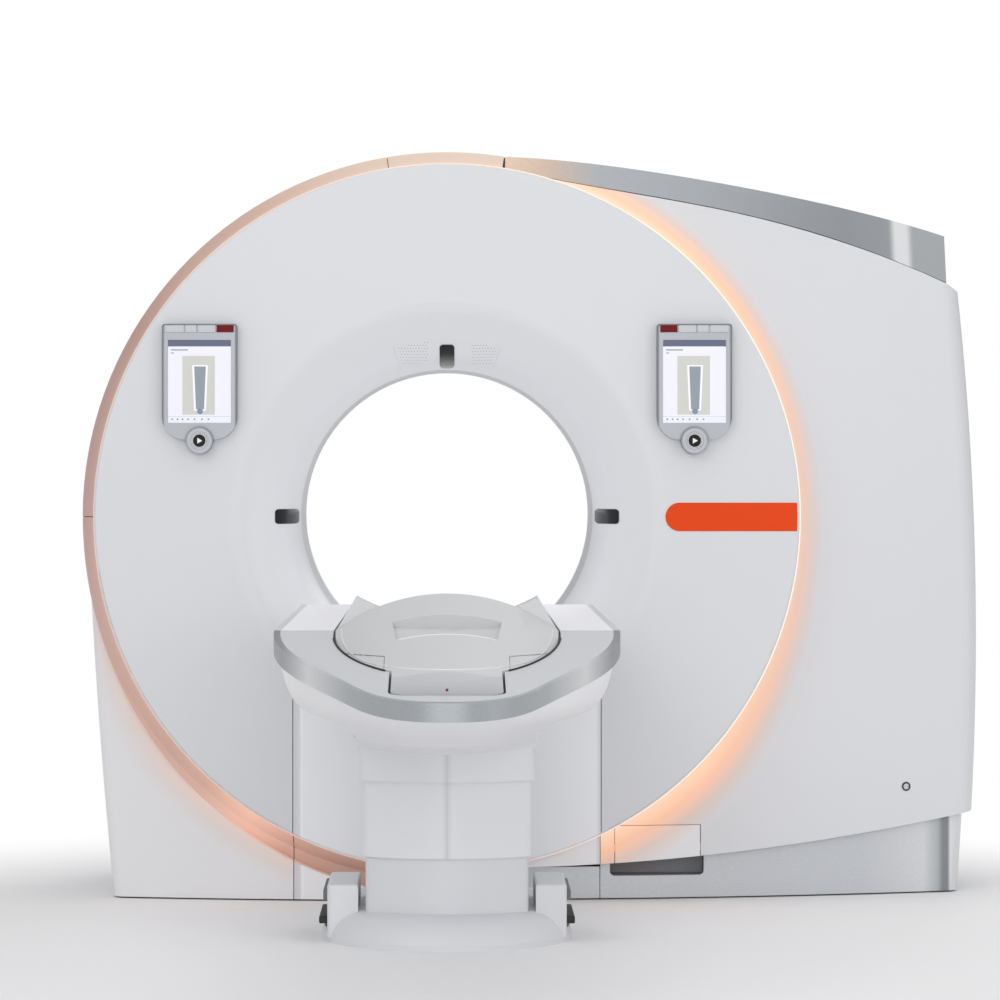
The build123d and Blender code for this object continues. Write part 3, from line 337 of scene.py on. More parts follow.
def brushed(name, color, along, roughness=0.34, metallic=0.6, stops=(), axis="X"):
    """Brushed metal: streaks drawn out along one axis, a little lighter and darker, spread the highlight.

    The streaks are about a millimetre wide, coarser than real brushing, so that they show in a picture.
    Stops of a coordinate and colour stand for what a curved face mirrors of the room across its width.
    """
    material, tree, shader, place = new_material(name, color, roughness, metallic)
    stretch = [900.0, 900.0, 900.0]
    stretch["XYZ".index(along)] = 6.0
    drawn = add(tree, "ShaderNodeMapping", {"Vector": place, "Scale": stretch}, vector_type="POINT")
    streaks = add(tree, "ShaderNodeTexNoise", {"Vector": drawn.outputs[0], "Scale": 1.0, "Detail": 3.0})
    noise = streaks.outputs[0]
    where = add(tree, "ShaderNodeSeparateXYZ", {0: place}).outputs[axis]
    ground = shades(tree, where, stops or ((0.0, color), (1.0, color)))
    grey = shades(tree, noise, ((0.3, "#eeeeee"), (0.7, "#ffffff")))
    mixed = add(tree, "ShaderNodeMix", {0: 1.0, 6: ground, 7: grey}, data_type="RGBA", blend_type="MULTIPLY")
    tree.links.new(mixed.outputs[2], shader.inputs["Base Color"])
    bump = add(tree, "ShaderNodeBump", {"Height": noise, "Distance": 0.00003, "Strength": 0.4})
    tree.links.new(bump.outputs[0], shader.inputs["Normal"])
    return material


class SCANNER_OT_covers(bpy.types.Operator):
    """Paints the gantry's covers, lit warm beside the light strip, and adds the bright line of the strip"""
    bl_idname = "scanner.covers"
    bl_label = "Gantry covers"

    def execute(self, context):
        paint(cover_paint("Painted cover, satin white"), "rear_panels")
        paint(cover_paint("Painted cover with the bell mouth", mouth=True), "front_disc_cover",
              "rear_drum_cover")
        # These copies of the cover paint have base colours lighter than the plain cover's: painted light on the
        # hatch and the lower left cover, which lie in shade, and a little on the right cover.
        paint(cover_paint("Painted cover, lit right", glow=1.15, color="#d9dadd"), "right_cover")
        paint(cover_paint("Painted hatch, lit right", glow=1.15, color="#e6e7ea"), "hatch_flap")
        paint(cover_paint("Painted cover, lit left", glow=0.5, color="#e6e6e8"), "left_lower_cover")
        # Painted light and shade across the centre panel: a lighter middle where the table's shade falls on it,
        # a painted highlight line, and darker towards its joints at the sides.
        joint = ((-0.400, "#d2d3d7"), (-0.384, "#dddee2"), (-0.379, "#fafafc"), (-0.375, "#f0f1f4"),
                 (0.388, "#f0f1f4"), (0.400, "#d6d7db"))
        paint(cover_paint("Painted cover, rounded joint", bands=joint), "center_front_panel")
        paint(cover_paint("Moulded liner, white", roughness=0.5), "bore_liner")
        paint(self.band_paint(), "rim_covers")
        line = self.lamp_glass()
        paint(line, "light_ring")
        inner, outer, front = DISC_RADIUS - 0.0004, DISC_RADIUS + 0.0026, -0.4345
        points, faces = hoop(0, ISO_HEIGHT, inner, outer, front, 0.004, count=180)
        piece("edge_light_line", points, faces, line, "structure")
        # Dark strips behind the gaps: painted shade, so that each joint reads as a dark line.
        dark, _, _, _ = new_material("Shadow gap, painted shade", "#3c3d40", 0.9)
        points, faces = joined([self.rim_filler(math.radians(angle)) for angle in RIM_GAPS])
        piece("rim_gap_fillers", points, faces, dark, "structure")
        points, faces = self.hatch_gap()
        piece("hatch_gap", points, faces, dark, "structure")
        return {"FINISHED"}

    def rim_filler(self, angle):
        """Dark strip behind one gap between two rim covers, painted shade: a slanted section swept a little way
        round.
        """
        half = 0.006
        radius = np.array([0.922, 0.9525, 0.9525, 0.922])
        depth = np.array([-0.398, -0.3595, -0.345, -0.384])
        return sweep([np.column_stack([radius * math.cos(turn), depth, ISO_HEIGHT + radius * math.sin(turn)])
                      for turn in (angle - half, angle + half)])

    def hatch_gap(self):
        """Dark strips in the gap over the hatch and at its right, painted shade: the cover's arc swept from
        side to side.
        """
        left, right, width = 0.440, 0.6652, 0.0012
        foot, low, high = 0.1510, 0.1957, 0.1969
        proud, sunk = -0.0003, 0.003
        x = np.linspace(left, right, 12)
        y = cover_front(x)
        corners = ((proud, low), (sunk, low), (sunk, high), (proud, high))
        over = sweep(np.stack([np.column_stack([x, y + depth, 0 * x + z]) for depth, z in corners], axis=1))
        face = cover_front(right)
        side = block(right - width, right, face + proud, face + sunk, foot, low)
        return joined([over, side])

    def band_paint(self):
        """Painted rim, rose in the edge light: deeper at the upper left, pale and bright low on the left."""
        material, tree, shader, place = new_material("Painted rim, rose in the edge light", "#c6a79b", 0.36)
        axes = add(tree, "ShaderNodeSeparateXYZ", {0: place}).outputs
        by_height = ((0.15, "#e0baac"), (0.45, "#deb6a6"), (0.8, "#cfaaa0"), (1.15, "#c4a49b"),
                     (1.5, "#bf9c90"), (1.8, "#d2b3a3"), (1.96, "#e3cdbb"))
        ground = shades(tree, axes["Z"], by_height)
        reach = {"Value": axes["Y"], "From Min": LIT_FRONT, "From Max": LIT_REAR, "To Min": 1.0, "To Max": 0.0}
        ahead = add(tree, "ShaderNodeMapRange", reach).outputs[0]
        cover = linear(bpy.context.scene.scanner_colours.cover)
        rose = add(tree, "ShaderNodeMix", {0: ahead, 6: cover, 7: ground}, data_type="RGBA")
        tree.links.new(rose.outputs[2], shader.inputs["Base Color"])
        from_bore = bore_distance(tree, place)
        beyond = add(tree, "ShaderNodeMath", {0: from_bore, 1: DISC_RADIUS}, operation="SUBTRACT")
        inner = shades(tree, beyond.outputs[0], ((0.0, "#7a5a48"), (0.012, "#3a2a22"), (0.026, "#000000")))
        spot = add(tree, "ShaderNodeVectorMath", {0: place, 1: BRIGHT_SPOT}, operation="DISTANCE")
        near = shades(tree, spot.outputs["Value"], ((0.0, "#a07860"), (0.14, "#50382c"), (0.28, "#000000")))
        both = add(tree, "ShaderNodeMix", {0: 1.0, 6: inner, 7: near}, data_type="RGBA", blend_type="ADD")
        tree.links.new(both.outputs[2], shader.inputs["Emission Color"])
        tree.links.new(ahead, shader.inputs["Emission Strength"])
        fine_bump(tree, shader, place, 260.0, 0.00004)
        return material

    def lamp_glass(self):
        """Opal acrylic diffuser over the strip's lamps: warm, with no lamp showing, dimmer at the left."""
        material, tree, shader, place = new_material("Opal acrylic diffuser", "#e6d6cb", 0.5)
        side = add(tree, "ShaderNodeSeparateXYZ", {0: place}).outputs["X"]
        light = shades(tree, side, ((-0.92, "#2e2520"), (-0.50, "#5a493f"), (0.10, "#8f776a"),
                                    (0.60, "#c9a893"), (0.92, "#c9a893")))
        tree.links.new(light, shader.inputs["Emission Color"])
        shader.inputs["Emission Strength"].default_value = 1.0
        return material


class SCANNER_OT_metal(bpy.types.Operator):
    """Finishes the silver cap, plinth, table rim and the steel inside, and lines the finger recess"""
    bl_idname = "scanner.metal"
    bl_label = "Silver and steel"

    def execute(self, context):
        silver = context.scene.scanner_colours.silver
        # Painted light on the silver cap: a warm glow from the edge light at its left, and a painted highlight
        # where it turns round its right end.
        cap = ((0.10, "#e2c6b0"), (0.26, "#c9b3a2"), (0.40, "#a9adb1"), (0.70, "#a5a9ad"),
               (1.05, "#9da1a5"), (1.175, "#a4a8ac"), (1.192, "#f0f1f2"), (1.224, "#f0f1f2"),
               (1.240, "#b4b8bb"), (1.32, "#b4b8bb"))
        paint(brushed("Brushed silver cap", silver, "X", metallic=0.35, roughness=0.4, stops=cap),
              "top_silver_cap")
        # Painted highlight and shade on the plinth where it turns round its right end: lighter, then dark, then
        # a bright edge.
        foot = ((0.42, silver), (1.10, silver), (1.27, "#dcdee0"), (1.310, "#b9bdc0"), (1.323, "#8c9094"),
                (1.338, "#8c9094"), (1.344, "#e4e6e8"))
        paint(brushed("Brushed silver plinth", silver, "X", metallic=0.4, roughness=0.4, stops=foot),
              "plinth")
        # Painted highlights and shade round the table rim: darker at its far sides, bright bands between, mid
        # grey in the middle.
        rim = ((-0.37, "#7d8286"), (-0.345, "#878c90"), (-0.285, "#d9dbdd"), (-0.20, "#abafb2"),
               (0.0, "#9ba0a4"), (0.20, "#abafb2"), (0.285, "#d9dbdd"), (0.345, "#878c90"),
               (0.37, "#7d8286"))
        band = brushed("Brushed aluminium rim", silver, "X", metallic=0.4, stops=rim)
        self.painted_rear(band)
        paint(band, "silver_band")
        # Powder coat on steel: mid grey and half matt, with a fine pebbled skin.
        frame_paint, tree, shader, place = new_material("Powder-coated steel", "#6f7378", 0.55)
        fine_bump(tree, shader, place, 700.0, 0.0001)
        paint(frame_paint, "base_frame", "table_base_frame", "table_frame", "detectors", "power_units")
        # Turned steel: bright, with tool marks that draw the highlight out.
        paint(brushed("Machined steel", "#9b9ea2", "Z", roughness=0.3, metallic=0.9), "levelling_feet",
              "bearing_outer_race", "bearing_inner_race", "counterweight", "guide_middle")
        # Cast and milled aluminium: pale and duller than the steel.
        paint(brushed("Cast aluminium", "#a9abad", "Y", roughness=0.5, metallic=0.9), "rotor_drum",
              "tube_housings", "slide_carriage")
        # Brass that brushes run on: warm yellow, polished along the run.
        paint(brushed("Contact ring, brass", "#b88a52", "Y", roughness=0.3, metallic=0.9), "slip_ring")
        # Black anodised aluminium: near black with a soft grey sheen.
        dark, tree, shader, place = new_material("Black anodised parts", "#2a2b2e", 0.45, 0.4)
        fine_bump(tree, shader, place, 600.0, 0.00005)
        paint(dark, "drive_stator", "magnet_ring", "brush_block", "collimators")
        paint(self.lock_face(), "cover_lock")
        # Moulded ABS, grained: plain matt grey that keeps the recess from going black.
        lining, tree, shader, place = new_material("Moulded lining, grey", "#96989d", 0.7)
        fine_bump(tree, shader, place, 700.0, 0.00005)
        points, faces = self.recess_lining()
        piece("recess_lining", points, faces, lining, "structure")
        return {"FINISHED"}

    def painted_rear(self, material):
        """White paint over the metal behind the sloping cover, where the rim isn't bare."""
        tree = material.node_tree
        shader = tree.nodes["Principled BSDF"]
        bare = shader.inputs["Base Color"].links[0].from_socket
        place = add(tree, "ShaderNodeTexCoord").outputs["Object"]
        along = add(tree, "ShaderNodeSeparateXYZ", {0: place}).outputs["Y"]
        behind = add(tree, "ShaderNodeMath", {0: along, 1: RIM_BEND}, operation="GREATER_THAN")
        mixed = add(tree, "ShaderNodeMix", {0: behind.outputs[0], 6: bare, 7: linear("#d6d7da")},
                    data_type="RGBA")
        tree.links.new(mixed.outputs[2], shader.inputs["Base Color"])

    def lock_face(self):
        """Nickel lock barrel: pale in the middle, with a dark ring of shadow round it."""
        material, tree, shader, place = new_material("Lock barrel, nickel", "#c9ccd0", 0.3, 0.4)
        away = add(tree, "ShaderNodeVectorMath", {0: place, 1: LOCK_PLACE}, operation="DISTANCE")
        rings = ((0.0, "#d5d7da"), (0.0070, "#c9ccd0"), (0.0082, "#3a3c40"), (0.0125, "#3a3c40"),
                 (0.0140, "#8f939a"))
        ground = shades(tree, away.outputs["Value"], rings)
        tree.links.new(ground, shader.inputs["Base Color"])
        return material

    def recess_lining(self):
        """Thin lining of the finger recess: five plates that end a little behind the plinth's arc."""
        x0, x1, z0, z1, back, wall = 0.4272, 0.6758, 0.0622, 0.1498, -0.2632, 0.0010
        inset = 0.028
        ends = (float(cover_front(x0)) + inset, float(cover_front(x1)) + inset)
        parts = [block(x0, x1, back - wall, back, z0, z1), block(x0, x0 + wall, ends[0], back, z0, z1),
                 block(x1 - wall, x1, ends[1], back, z0, z1), block(x0, x1, ends, back, z0, z0 + wall),
                 block(x0, x1, ends, back, z1 - wall, z1)]
        return joined(parts)


class SCANNER_OT_trim(bpy.types.Operator):
    """Finishes the strip, laser windows and speaker trim, and lays dark buttons of painted shade on the trim
    for its sound holes
    """
    bl_idname = "scanner.trim"
    bl_label = "Strip, windows and speaker"

    def execute(self, context):
        # Printed vinyl film: a flat strong colour with little shine.
        color = context.scene.scanner_colours.strip
        strip, tree, shader, place = new_material("Printed strip, orange", color, 0.5, Specular_IOR_Level=0.2)
        fine_bump(tree, shader, place, 300.0, 0.00002)
        paint(strip, "stripe")
        # Smoked acrylic: near black and smooth, a little paler towards the bore.
        glass, tree, shader, place = new_material("Smoked acrylic window", "#08080a", 0.08, IOR=1.49)
        depth = shades(tree, bore_distance(tree, place), ((0.402, "#2c2d31"), (0.440, "#0a0a0c")))
        tree.links.new(depth, shader.inputs["Base Color"])
        paint(glass, "laser_windows")
        paint(cover_paint("Moulded trim, satin white", roughness=0.45, mouth=True), "speaker_trim")
        self.sound_holes(context.scene.scanner_trim)
        return {"FINISHED"}

    def sound_holes(self, trim):
        """Rows of sound holes in painted shade: shallow dark buttons on the bell mouth, each square to its
        surface.
        """
        # Painted shade for a sound hole: matt grey, as the acoustic cloth seen down a hole lies in shade.
        hole, _, _, _ = new_material("Sound hole, shaded cloth", "#a2a4a9", 0.8)
        foot, head = 1.408, 1.466
        nearest, farthest, half_angle = 0.408, 0.460, math.radians(16.4)
        depth, height, step = 0.0002, 0.0003, 1e-4
        for name, low, high in (("speaker_holes", -0.130, -0.055), ("microphone_holes", 0.066, 0.128)):
            columns, rows = np.meshgrid(np.arange(low, high, trim.pitch), np.arange(foot, head, trim.pitch))
            x = (columns + trim.pitch / 2 * (np.arange(rows.shape[0]) % 2)[:, None]).ravel()
            z = rows.ravel() - ISO_HEIGHT
            radius = np.hypot(x, z)
            keep = (radius > nearest) & (radius < farthest) & (np.abs(np.arctan2(x, z)) < half_angle)
            x, z, radius = x[keep], z[keep], radius[keep]
            slope = (mouth_depth(radius + step) - mouth_depth(radius - step)) / (2 * step)
            outward = np.column_stack([x / radius, np.zeros_like(x), z / radius])
            normal = outward * slope[:, None] + np.array([0, -1, 0])
            normal /= np.linalg.norm(normal, axis=1)[:, None]
            around = np.column_stack([-z / radius, np.zeros_like(x), x / radius])
            along = np.cross(normal, around)
            centre = np.column_stack([x, mouth_depth(radius), z + ISO_HEIGHT])
            turn = np.linspace(0, 2 * math.pi, 8, endpoint=False)
            cosine, sine = np.cos(turn)[None, :, None], np.sin(turn)[None, :, None]
            ring = cosine * around[:, None] + sine * along[:, None]
            rim = centre[:, None] + ring * trim.hole / 2
            sunk, proud = rim - depth * normal[:, None], rim + height * normal[:, None]
            points, faces = joined([sweep(pair) for pair in np.stack([sunk, proud], axis=1)])
            piece(name, points, faces, hole, "structure")


class SCANNER_OT_panels(bpy.types.Operator):
    """Finishes the touch panels and draws what their screens show, with the mark on the start buttons"""
    bl_idname = "scanner.panels"
    bl_label = "Touch panels"

    def execute(self, context):
        colours = context.scene.scanner_colours
        # Silver lacquer on moulded ABS: a soft metallic grey with fine sparkle in its highlight.
        shell, tree, shader, place = new_material("Silver lacquer", "#9c9fa4", 0.32, 0.3)
        fine_bump(tree, shader, place, 400.0, 0.00002)
        self.knob_greys(tree, shader, place)
        paint(shell, "panel_housings")
        # Textured polyester keys and an acetal button: even colour, half matt, with little shine.
        pale, tree, shader, place = new_material("Membrane key, pale", "#c6c8ce", 0.45)
        fine_bump(tree, shader, place, 500.0, 0.00003)
        red, tree, shader, place = new_material("Stop key, red", "#6e0206", 0.5,
                                                Specular_IOR_Level=0.2)
        fine_bump(tree, shader, place, 500.0, 0.00003)
        black, tree, shader, place = new_material("Start button, black", "#060607", 0.4,
                                                  Specular_IOR_Level=0.2)
        fine_bump(tree, shader, place, 500.0, 0.00002)
        for side, _ in SIDES:
            paint(pale, *[f"{side}_key_{number}" for number in (1, 2, 3)])
            paint(red, f"{side}_stop_key")
            paint(black, f"{side}_start_button")
        self.inks = {name: self.screen_ink(name, color) for name, color in (
            ("ground", colours.screen), ("header", "#26325f"), ("title", "#9297a6"),
            ("picture", "#bcbcb5"), ("border", "#e6e7ea"), ("bar", "#72808b"), ("dot", "#55719e"),
            ("icons", "#6d7387"), ("line", "#aaaeba"))}
        paint(self.inks["ground"], "panel_screens")
        for side, sign in SIDES:
            self.graphics(side, sign * PANEL_X)
            self.button_marks(side, sign * PANEL_X)
        return {"FINISHED"}

    def knob_greys(self, tree, shader, place):
        """Painted shade on the lacquer: a little darker at the knob's edge and round the button, where the face
        is in shade, lighter between them. The lacquer is also darker along the housing's sides and top.
        """
        axes = add(tree, "ShaderNodeSeparateXYZ", {0: place}).outputs
        across = add(tree, "ShaderNodeMath", {0: axes["X"]}, operation="ABSOLUTE")
        beside = add(tree, "ShaderNodeMath", {0: across.outputs[0], 1: PANEL_X}, operation="SUBTRACT")
        above = add(tree, "ShaderNodeMath", {0: axes["Z"], 1: KNOB_Z}, operation="SUBTRACT")
        flat = add(tree, "ShaderNodeCombineXYZ", {"X": beside.outputs[0], "Z": above.outputs[0]})
        away = add(tree, "ShaderNodeVectorMath", {0: flat.outputs[0]}, operation="LENGTH").outputs["Value"]
        rings = ((0.0190, "#74777d"), (0.0225, "#94979d"), (0.0290, "#a6a8ad"), (0.0335, "#84878d"),
                 (0.0350, "#6c6f75"), (0.0375, "#8f9298"), (0.0420, "#9c9fa4"))
        greys = shades(tree, away, rings)
        outwards = add(tree, "ShaderNodeMath", {0: beside.outputs[0]}, operation="ABSOLUTE").outputs[0]
        sides = shades(tree, outwards, ((0.0900, "#ffffff"), (0.0945, "#9fa2a8")))
        head = shades(tree, axes["Z"], ((1.4990, "#ffffff"), (1.5040, "#9fa2a8")))
        edge = add(tree, "ShaderNodeMix", {0: 1.0, 6: sides, 7: head}, data_type="RGBA",
                   blend_type="MULTIPLY")
        shaded = add(tree, "ShaderNodeMix", {0: 1.0, 6: greys, 7: edge.outputs[2]}, data_type="RGBA",
                     blend_type="MULTIPLY")
        tree.links.new(shaded.outputs[2], shader.inputs["Base Color"])

    def screen_ink(self, name, color):
        """Lit screen under cover glass: the colour shines a little, and the glass has a sharp highlight."""
        material, _, shader, _ = new_material("Screen " + name, color, 0.12)
        shader.inputs["Emission Color"].default_value = linear(color)
        shader.inputs["Emission Strength"].default_value = 0.12
        return material

    def graphics(self, side, x):
        """What one screen shows: a header, a picture with a tapered bar and a dot, and a row of icons."""
        top, front = SCREEN_TOP, SCREEN_FRONT
        left = x - SCREEN_HALF
        middle = left + 0.0834
        thick, thin, layer = 0.0003, 0.0002, 0.0001
        icon = 0.002
        shapes = {
            "header": [rectangle(left + 0.0005, top - 0.0175, left + 0.1635, top - 0.0005)],
            "title": [rectangle(left + 0.008, top - 0.0285, left + 0.052, top - 0.0245),
                      rectangle(left + 0.008, top - 0.036, left + 0.016, top - 0.033)],
            "picture": [rectangle(left + 0.0375, top - 0.1945, left + 0.122, top - 0.042)],
            "icons": [rectangle(left + at - icon, top - 0.2085, left + at + icon, top - 0.2045)
                      for at in (0.0114, 0.0252, 0.0381, 0.0524, 0.0692, 0.0887, 0.1053)],
            "line": [rectangle(left + 0.0005, top - 0.2000, left + 0.1635, top - 0.1992)],
        }
        layers = {
            "border": [self.taper(middle, 0.0155, top - 0.184, 0.0205, top - 0.066)],
            "bar": [self.taper(middle, 0.0105, top - 0.181, 0.0150, top - 0.0696)],
            "dot": [circle(middle, top - 0.186, 0.0075)],
        }
        for ink, outlines in shapes.items():
            points, faces = joined([upright(outline, front, thick) for outline in outlines])
            piece(f"{side}_screen_{ink}", points, faces, self.inks[ink], "structure")
        for depth, (ink, outlines) in enumerate(layers.items(), start=1):
            points, faces = joined([upright(outline, front - layer * depth, thin) for outline in outlines])
            piece(f"{side}_screen_{ink}", points, faces, self.inks[ink], "structure")

    def taper(self, middle, low_half, low, high_half, high):
        """Corners of an upright bar that widens upwards."""
        return [(middle - low_half, low), (middle + low_half, low), (middle + high_half, high),
                (middle - high_half, high)]

    def button_marks(self, side, x):
        """A white ring with a triangle in it on the start button, and a thin ring on the knob round it."""
        # Pad-printed ink: flat white with a slight shine.
        white, _, _, _ = new_material("Printed mark, white", "#eceef2", 0.4)
        knob_front, button_front = -0.4743, -0.4763
        points, faces = hoop(x, KNOB_Z, 0.0195, 0.0207, knob_front, PRINT_DEPTH)
        piece(f"{side}_knob_ring", points, faces, white, "structure")
        ring = hoop(x, KNOB_Z, 0.0166, 0.0181, button_front, PRINT_DEPTH)
        back, tip, half = x - 0.005, x + 0.008, 0.0075
        corners = [(back, KNOB_Z - half), (tip, KNOB_Z), (back, KNOB_Z + half)]
        points, faces = joined([ring, upright(corners, button_front, PRINT_DEPTH)])
        piece(f"{side}_start_mark", points, faces, white, f"{side}_start_button")


class SCANNER_OT_table(bpy.types.Operator):
    """Finishes the table's covers and pedals, and shapes the tabletop, the cap's small trim and the lamp"""
    bl_idname = "scanner.table"
    bl_label = "Patient table"

    def execute(self, context):
        # The underbody's cover is painted lighter than the plain cover: painted light on a face that lies in
        # shade.
        paint(cover_paint("Table cover, satin white painted lighter", color="#ececef"), "housing_underbody")
        paint(cover_paint("Foot cover, satin white", color="#dbdcdf"), "table_base_cover")
        # Darker towards the middle of the column: a dark joint line there, with painted shade either side of
        # it.
        joint = ((-0.014, "#e2e3e6"), (-0.004, "#d9dadc"), (-0.0012, "#ced0d2"),
                 (0.0012, "#ced0d2"), (0.004, "#d9dadc"), (0.014, "#e2e3e6"))
        paint(cover_paint("Column cover, joint in the middle with painted shade", bands=joint), "column_middle_cover",
              "column_upper_cover")
        paint(cover_paint("Column foot cover, satin white", color="#d8dadd"), "column_lower_cover")
        # Copies of one moulding, each with its own colour: the rear top cover painted lighter where it faces
        # the light, the foot-end cover and the cap painted grey where they turn away from it.
        paint(self.moulding("Table top cover, painted light", "#fafafd", 0.4), "top_rear_cover")
        paint(self.moulding("Foot-end cover, painted shade", "#cccdd0", 0.4), "top_front_cover")
        cap = self.moulding("Cap, moulded, painted shade", "#cdcecf", 0.42)
        tongue = ((-2.856, "#a9abaf"), (-2.760, "#bdbec1"), (-2.690, "#c2c3c6"), (-2.682, "#cdcecf"))
        paint(self.moulding("Cap, moulded, shaded tongue", "#cdcecf", 0.42, tongue), "end_cap")
        # Moulded rubber: matt, with a fine grain and no clear highlight.
        pad, tree, shader, place = new_material("Moulded rubber, grey", "#6d7176", 0.7)
        fine_bump(tree, shader, place, 800.0, 0.0001)
        bar, tree, shader, place = new_material("Moulded rubber, black", "#1b1c1e", 0.6)
        fine_bump(tree, shader, place, 800.0, 0.0001)
        for side, _ in SIDES:
            paint(pad, f"{side}_upper_pedal")
            paint(bar, f"{side}_lower_pedal")
        self.cradle(cap)
        points, faces = joined([self.fairing(sign) for _, sign in SIDES])
        piece("cap_fairing", points, faces, cap, "lift")
        # The cap's bead and the handle's lip are painted paler than the cap: painted highlight on rounded edges
        # that catch the light.
        pale = self.moulding("Moulded edge, painted highlight", "#e4e5e6", 0.35)
        start, side, front = 0.04, 0.36, 1.02
        stretches = ((start, side), (front, math.pi - front), (math.pi - side, math.pi - start))
        points, faces = joined([self.bead(low, high) for low, high in stretches])
        piece("cap_bead", points, faces, pale, "top", smooth=True)
        points, faces = joined([self.bead(side, front), self.bead(math.pi - front, math.pi - side)])
        piece("fairing_bead", points, faces, pale, "lift", smooth=True)
        # Black bar in the gap round the cap's opening: painted shade, plain black and a little smoother than
        # the pedals.
        rubber, _, _, _ = new_material("Gap round the cap, painted shade", "#141416", 0.6)
        points, faces = joined([self.shadow_strip(sign) for _, sign in SIDES])
        piece("cap_shadow_strip", points, faces, rubber, "lift", smooth=True)
        points, faces = self.lip()
        piece("handle_lip", points, faces, pale, "top", smooth=True)
        # Polycarbonate lens, unlit: deep red and smooth.
        lens, _, _, _ = new_material("Status lamp, dark red lens", "#7c1217", 0.25)
        domes = ((1.0, -2.8500), (1.0, -2.8525), (0.8, -2.8533), (0.4, -2.8537))
        outlines = [(circle(0, LAMP_Z, share * LAMP_RADIUS, 16), y) for share, y in domes]
        points, faces = sweep([np.column_stack([flat[:, 0], np.full(len(flat), y), flat[:, 1]])
                               for flat, y in outlines])
        piece("status_lamp", points, faces, lens, "top", smooth=True)
        return {"FINISHED"}

    def cradle(self, material):
        """Tabletop, thinner and wider towards the head: raised edges behind the cap, a shallow dish far in.

        Across, the top rises from the middle as a power of the share of the half width, square at the foot
        end and fourth at the head end; along, edge, middle and power change in proportion to the length.
        """
        along = np.array([-2.2485, -2.15, -1.9, -1.6, -1.3, -1.0, -0.7, -0.4805])
        taper_start, taper_length = 2.15, 1.67
        share = np.clip((along + taper_start) / taper_length, 0, 1)[:, None]
        across = np.linspace(-1, 1, 33)[None, :]
        edge = 0.194 + 0.0335 * share
        high = 0.8565 - 0.0745 * share
        low = 0.804 - 0.040 * share
        rise = np.abs(across) ** (2 + 2 * share)
        top = np.stack([edge * across, along[:, None] + 0 * across, low + (high - low) * rise], axis=-1)
        shoulder_half, foot_half, under_edge = 0.2365, 0.205, 0.004
        shoulder = np.minimum(RIM_TOP, high - under_edge)
        flat = np.full_like(share, CRADLE_BASE)
        heights = np.concatenate([shoulder, flat, flat, shoulder], axis=1)
        widths = np.broadcast_to([shoulder_half, foot_half, -foot_half, -shoulder_half], heights.shape)
        base = np.stack([widths, np.broadcast_to(along[:, None], heights.shape), heights], axis=-1)
        points, faces = sweep(np.concatenate([top, base], axis=1))
        made = piece("tabletop_cradle", points, faces, material, "top")
        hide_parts("tabletop")

    def fairing(self, sign):
        """Part of the table under one side of the cap: its arched face carried on down to the sloping cover.

        Sections across run from the tongue out to the oval, an ellipse in plan. The top is the arched face,
        no higher than the cap's base.
        """
        below_base, below_arch, into_cover = 0.0006, 0.0003, 0.030
        along = np.linspace(-2.6150, -2.4000, 22)[:, None]
        share = np.linspace(0, 1, 9)[None, :]
        outer = CAP_HALF * np.sqrt(1 - ((along - CAP_BACK) / CAP_REACH) ** 2)
        x = TONGUE_HALF + (outer - TONGUE_HALF) * share
        top = np.minimum(CRADLE_BASE - below_base, self.crown(x, along) - below_arch)
        foot = np.broadcast_to(self.cover_height(along) - into_cover, (len(along), 2))
        high = np.stack([sign * x, np.broadcast_to(along, x.shape), top], axis=-1)
        low = np.stack([sign * np.concatenate([outer, 0 * outer + TONGUE_HALF], axis=1),
                        np.broadcast_to(along, foot.shape), foot], axis=-1)
        return sweep(np.concatenate([high, low], axis=1))

    def cover_height(self, y):
        """Height of the sloping front cover round the cap: it falls evenly from the bend to the foot end."""
        return RIM_TOP - RIM_SLOPE * (RIM_BEND - y)

    def shadow_strip(self, sign):
        """Black bar in the gap round the cap's opening, painted shade: a thin bar, an ellipse in plan, on the
        sloping cover.
        """
        start, end_x, outside, proud, radius = 0.12, 0.124, 0.0046, 0.0010, 0.0023
        turn = np.linspace(start, math.acos(end_x / CAP_HALF), 40)
        x = (CAP_HALF + outside) * np.cos(turn)
        y = CAP_BACK - (CAP_REACH + outside) * np.sin(turn)
        return cord(np.column_stack([sign * x, y, self.cover_height(y) + proud]), radius)

    def crown(self, x, y):
        """Height of the cap's arched face: a cylinder tilted down towards the foot end."""
        sag = self.sag(x)
        run = (y - CAP_BACK + sag * math.sin(CAP_TILT)) / math.cos(CAP_TILT)
        return CAP_PEAK + run * math.sin(CAP_TILT) + sag * math.cos(CAP_TILT)

    def sag(self, x):
        """Drop of the arch at X: the root of its radius squared less X squared, less the radius."""
        return np.sqrt(CAP_ARCH ** 2 - np.square(x)) - CAP_ARCH

    def bead(self, low, high):
        """Thin bead along the cap's edge: a stretch of an ellipse in plan, laid on the arched face."""
        side_inset, front_inset, radius = 0.012, 0.016, 0.0015
        turn = np.linspace(low, high, 40)
        x = (CAP_HALF - side_inset) * np.cos(turn)
        y = CAP_BACK - (CAP_REACH - front_inset) * np.sin(turn)
        return cord(np.column_stack([x, y, self.crown(x, y)]), radius)

    def lip(self):
        """Rounded lower lip of the handle recess, a bar that follows the arch from side to side."""
        half, run, sunk, radius = 0.104, 0.2445, 0.001, 0.0022
        x = np.linspace(-half, half, 24)
        y = CAP_BACK - run * math.cos(CAP_TILT) - self.sag(x) * math.sin(CAP_TILT)
        return cord(np.column_stack([x, y, self.crown(x, y) - sunk]), radius)

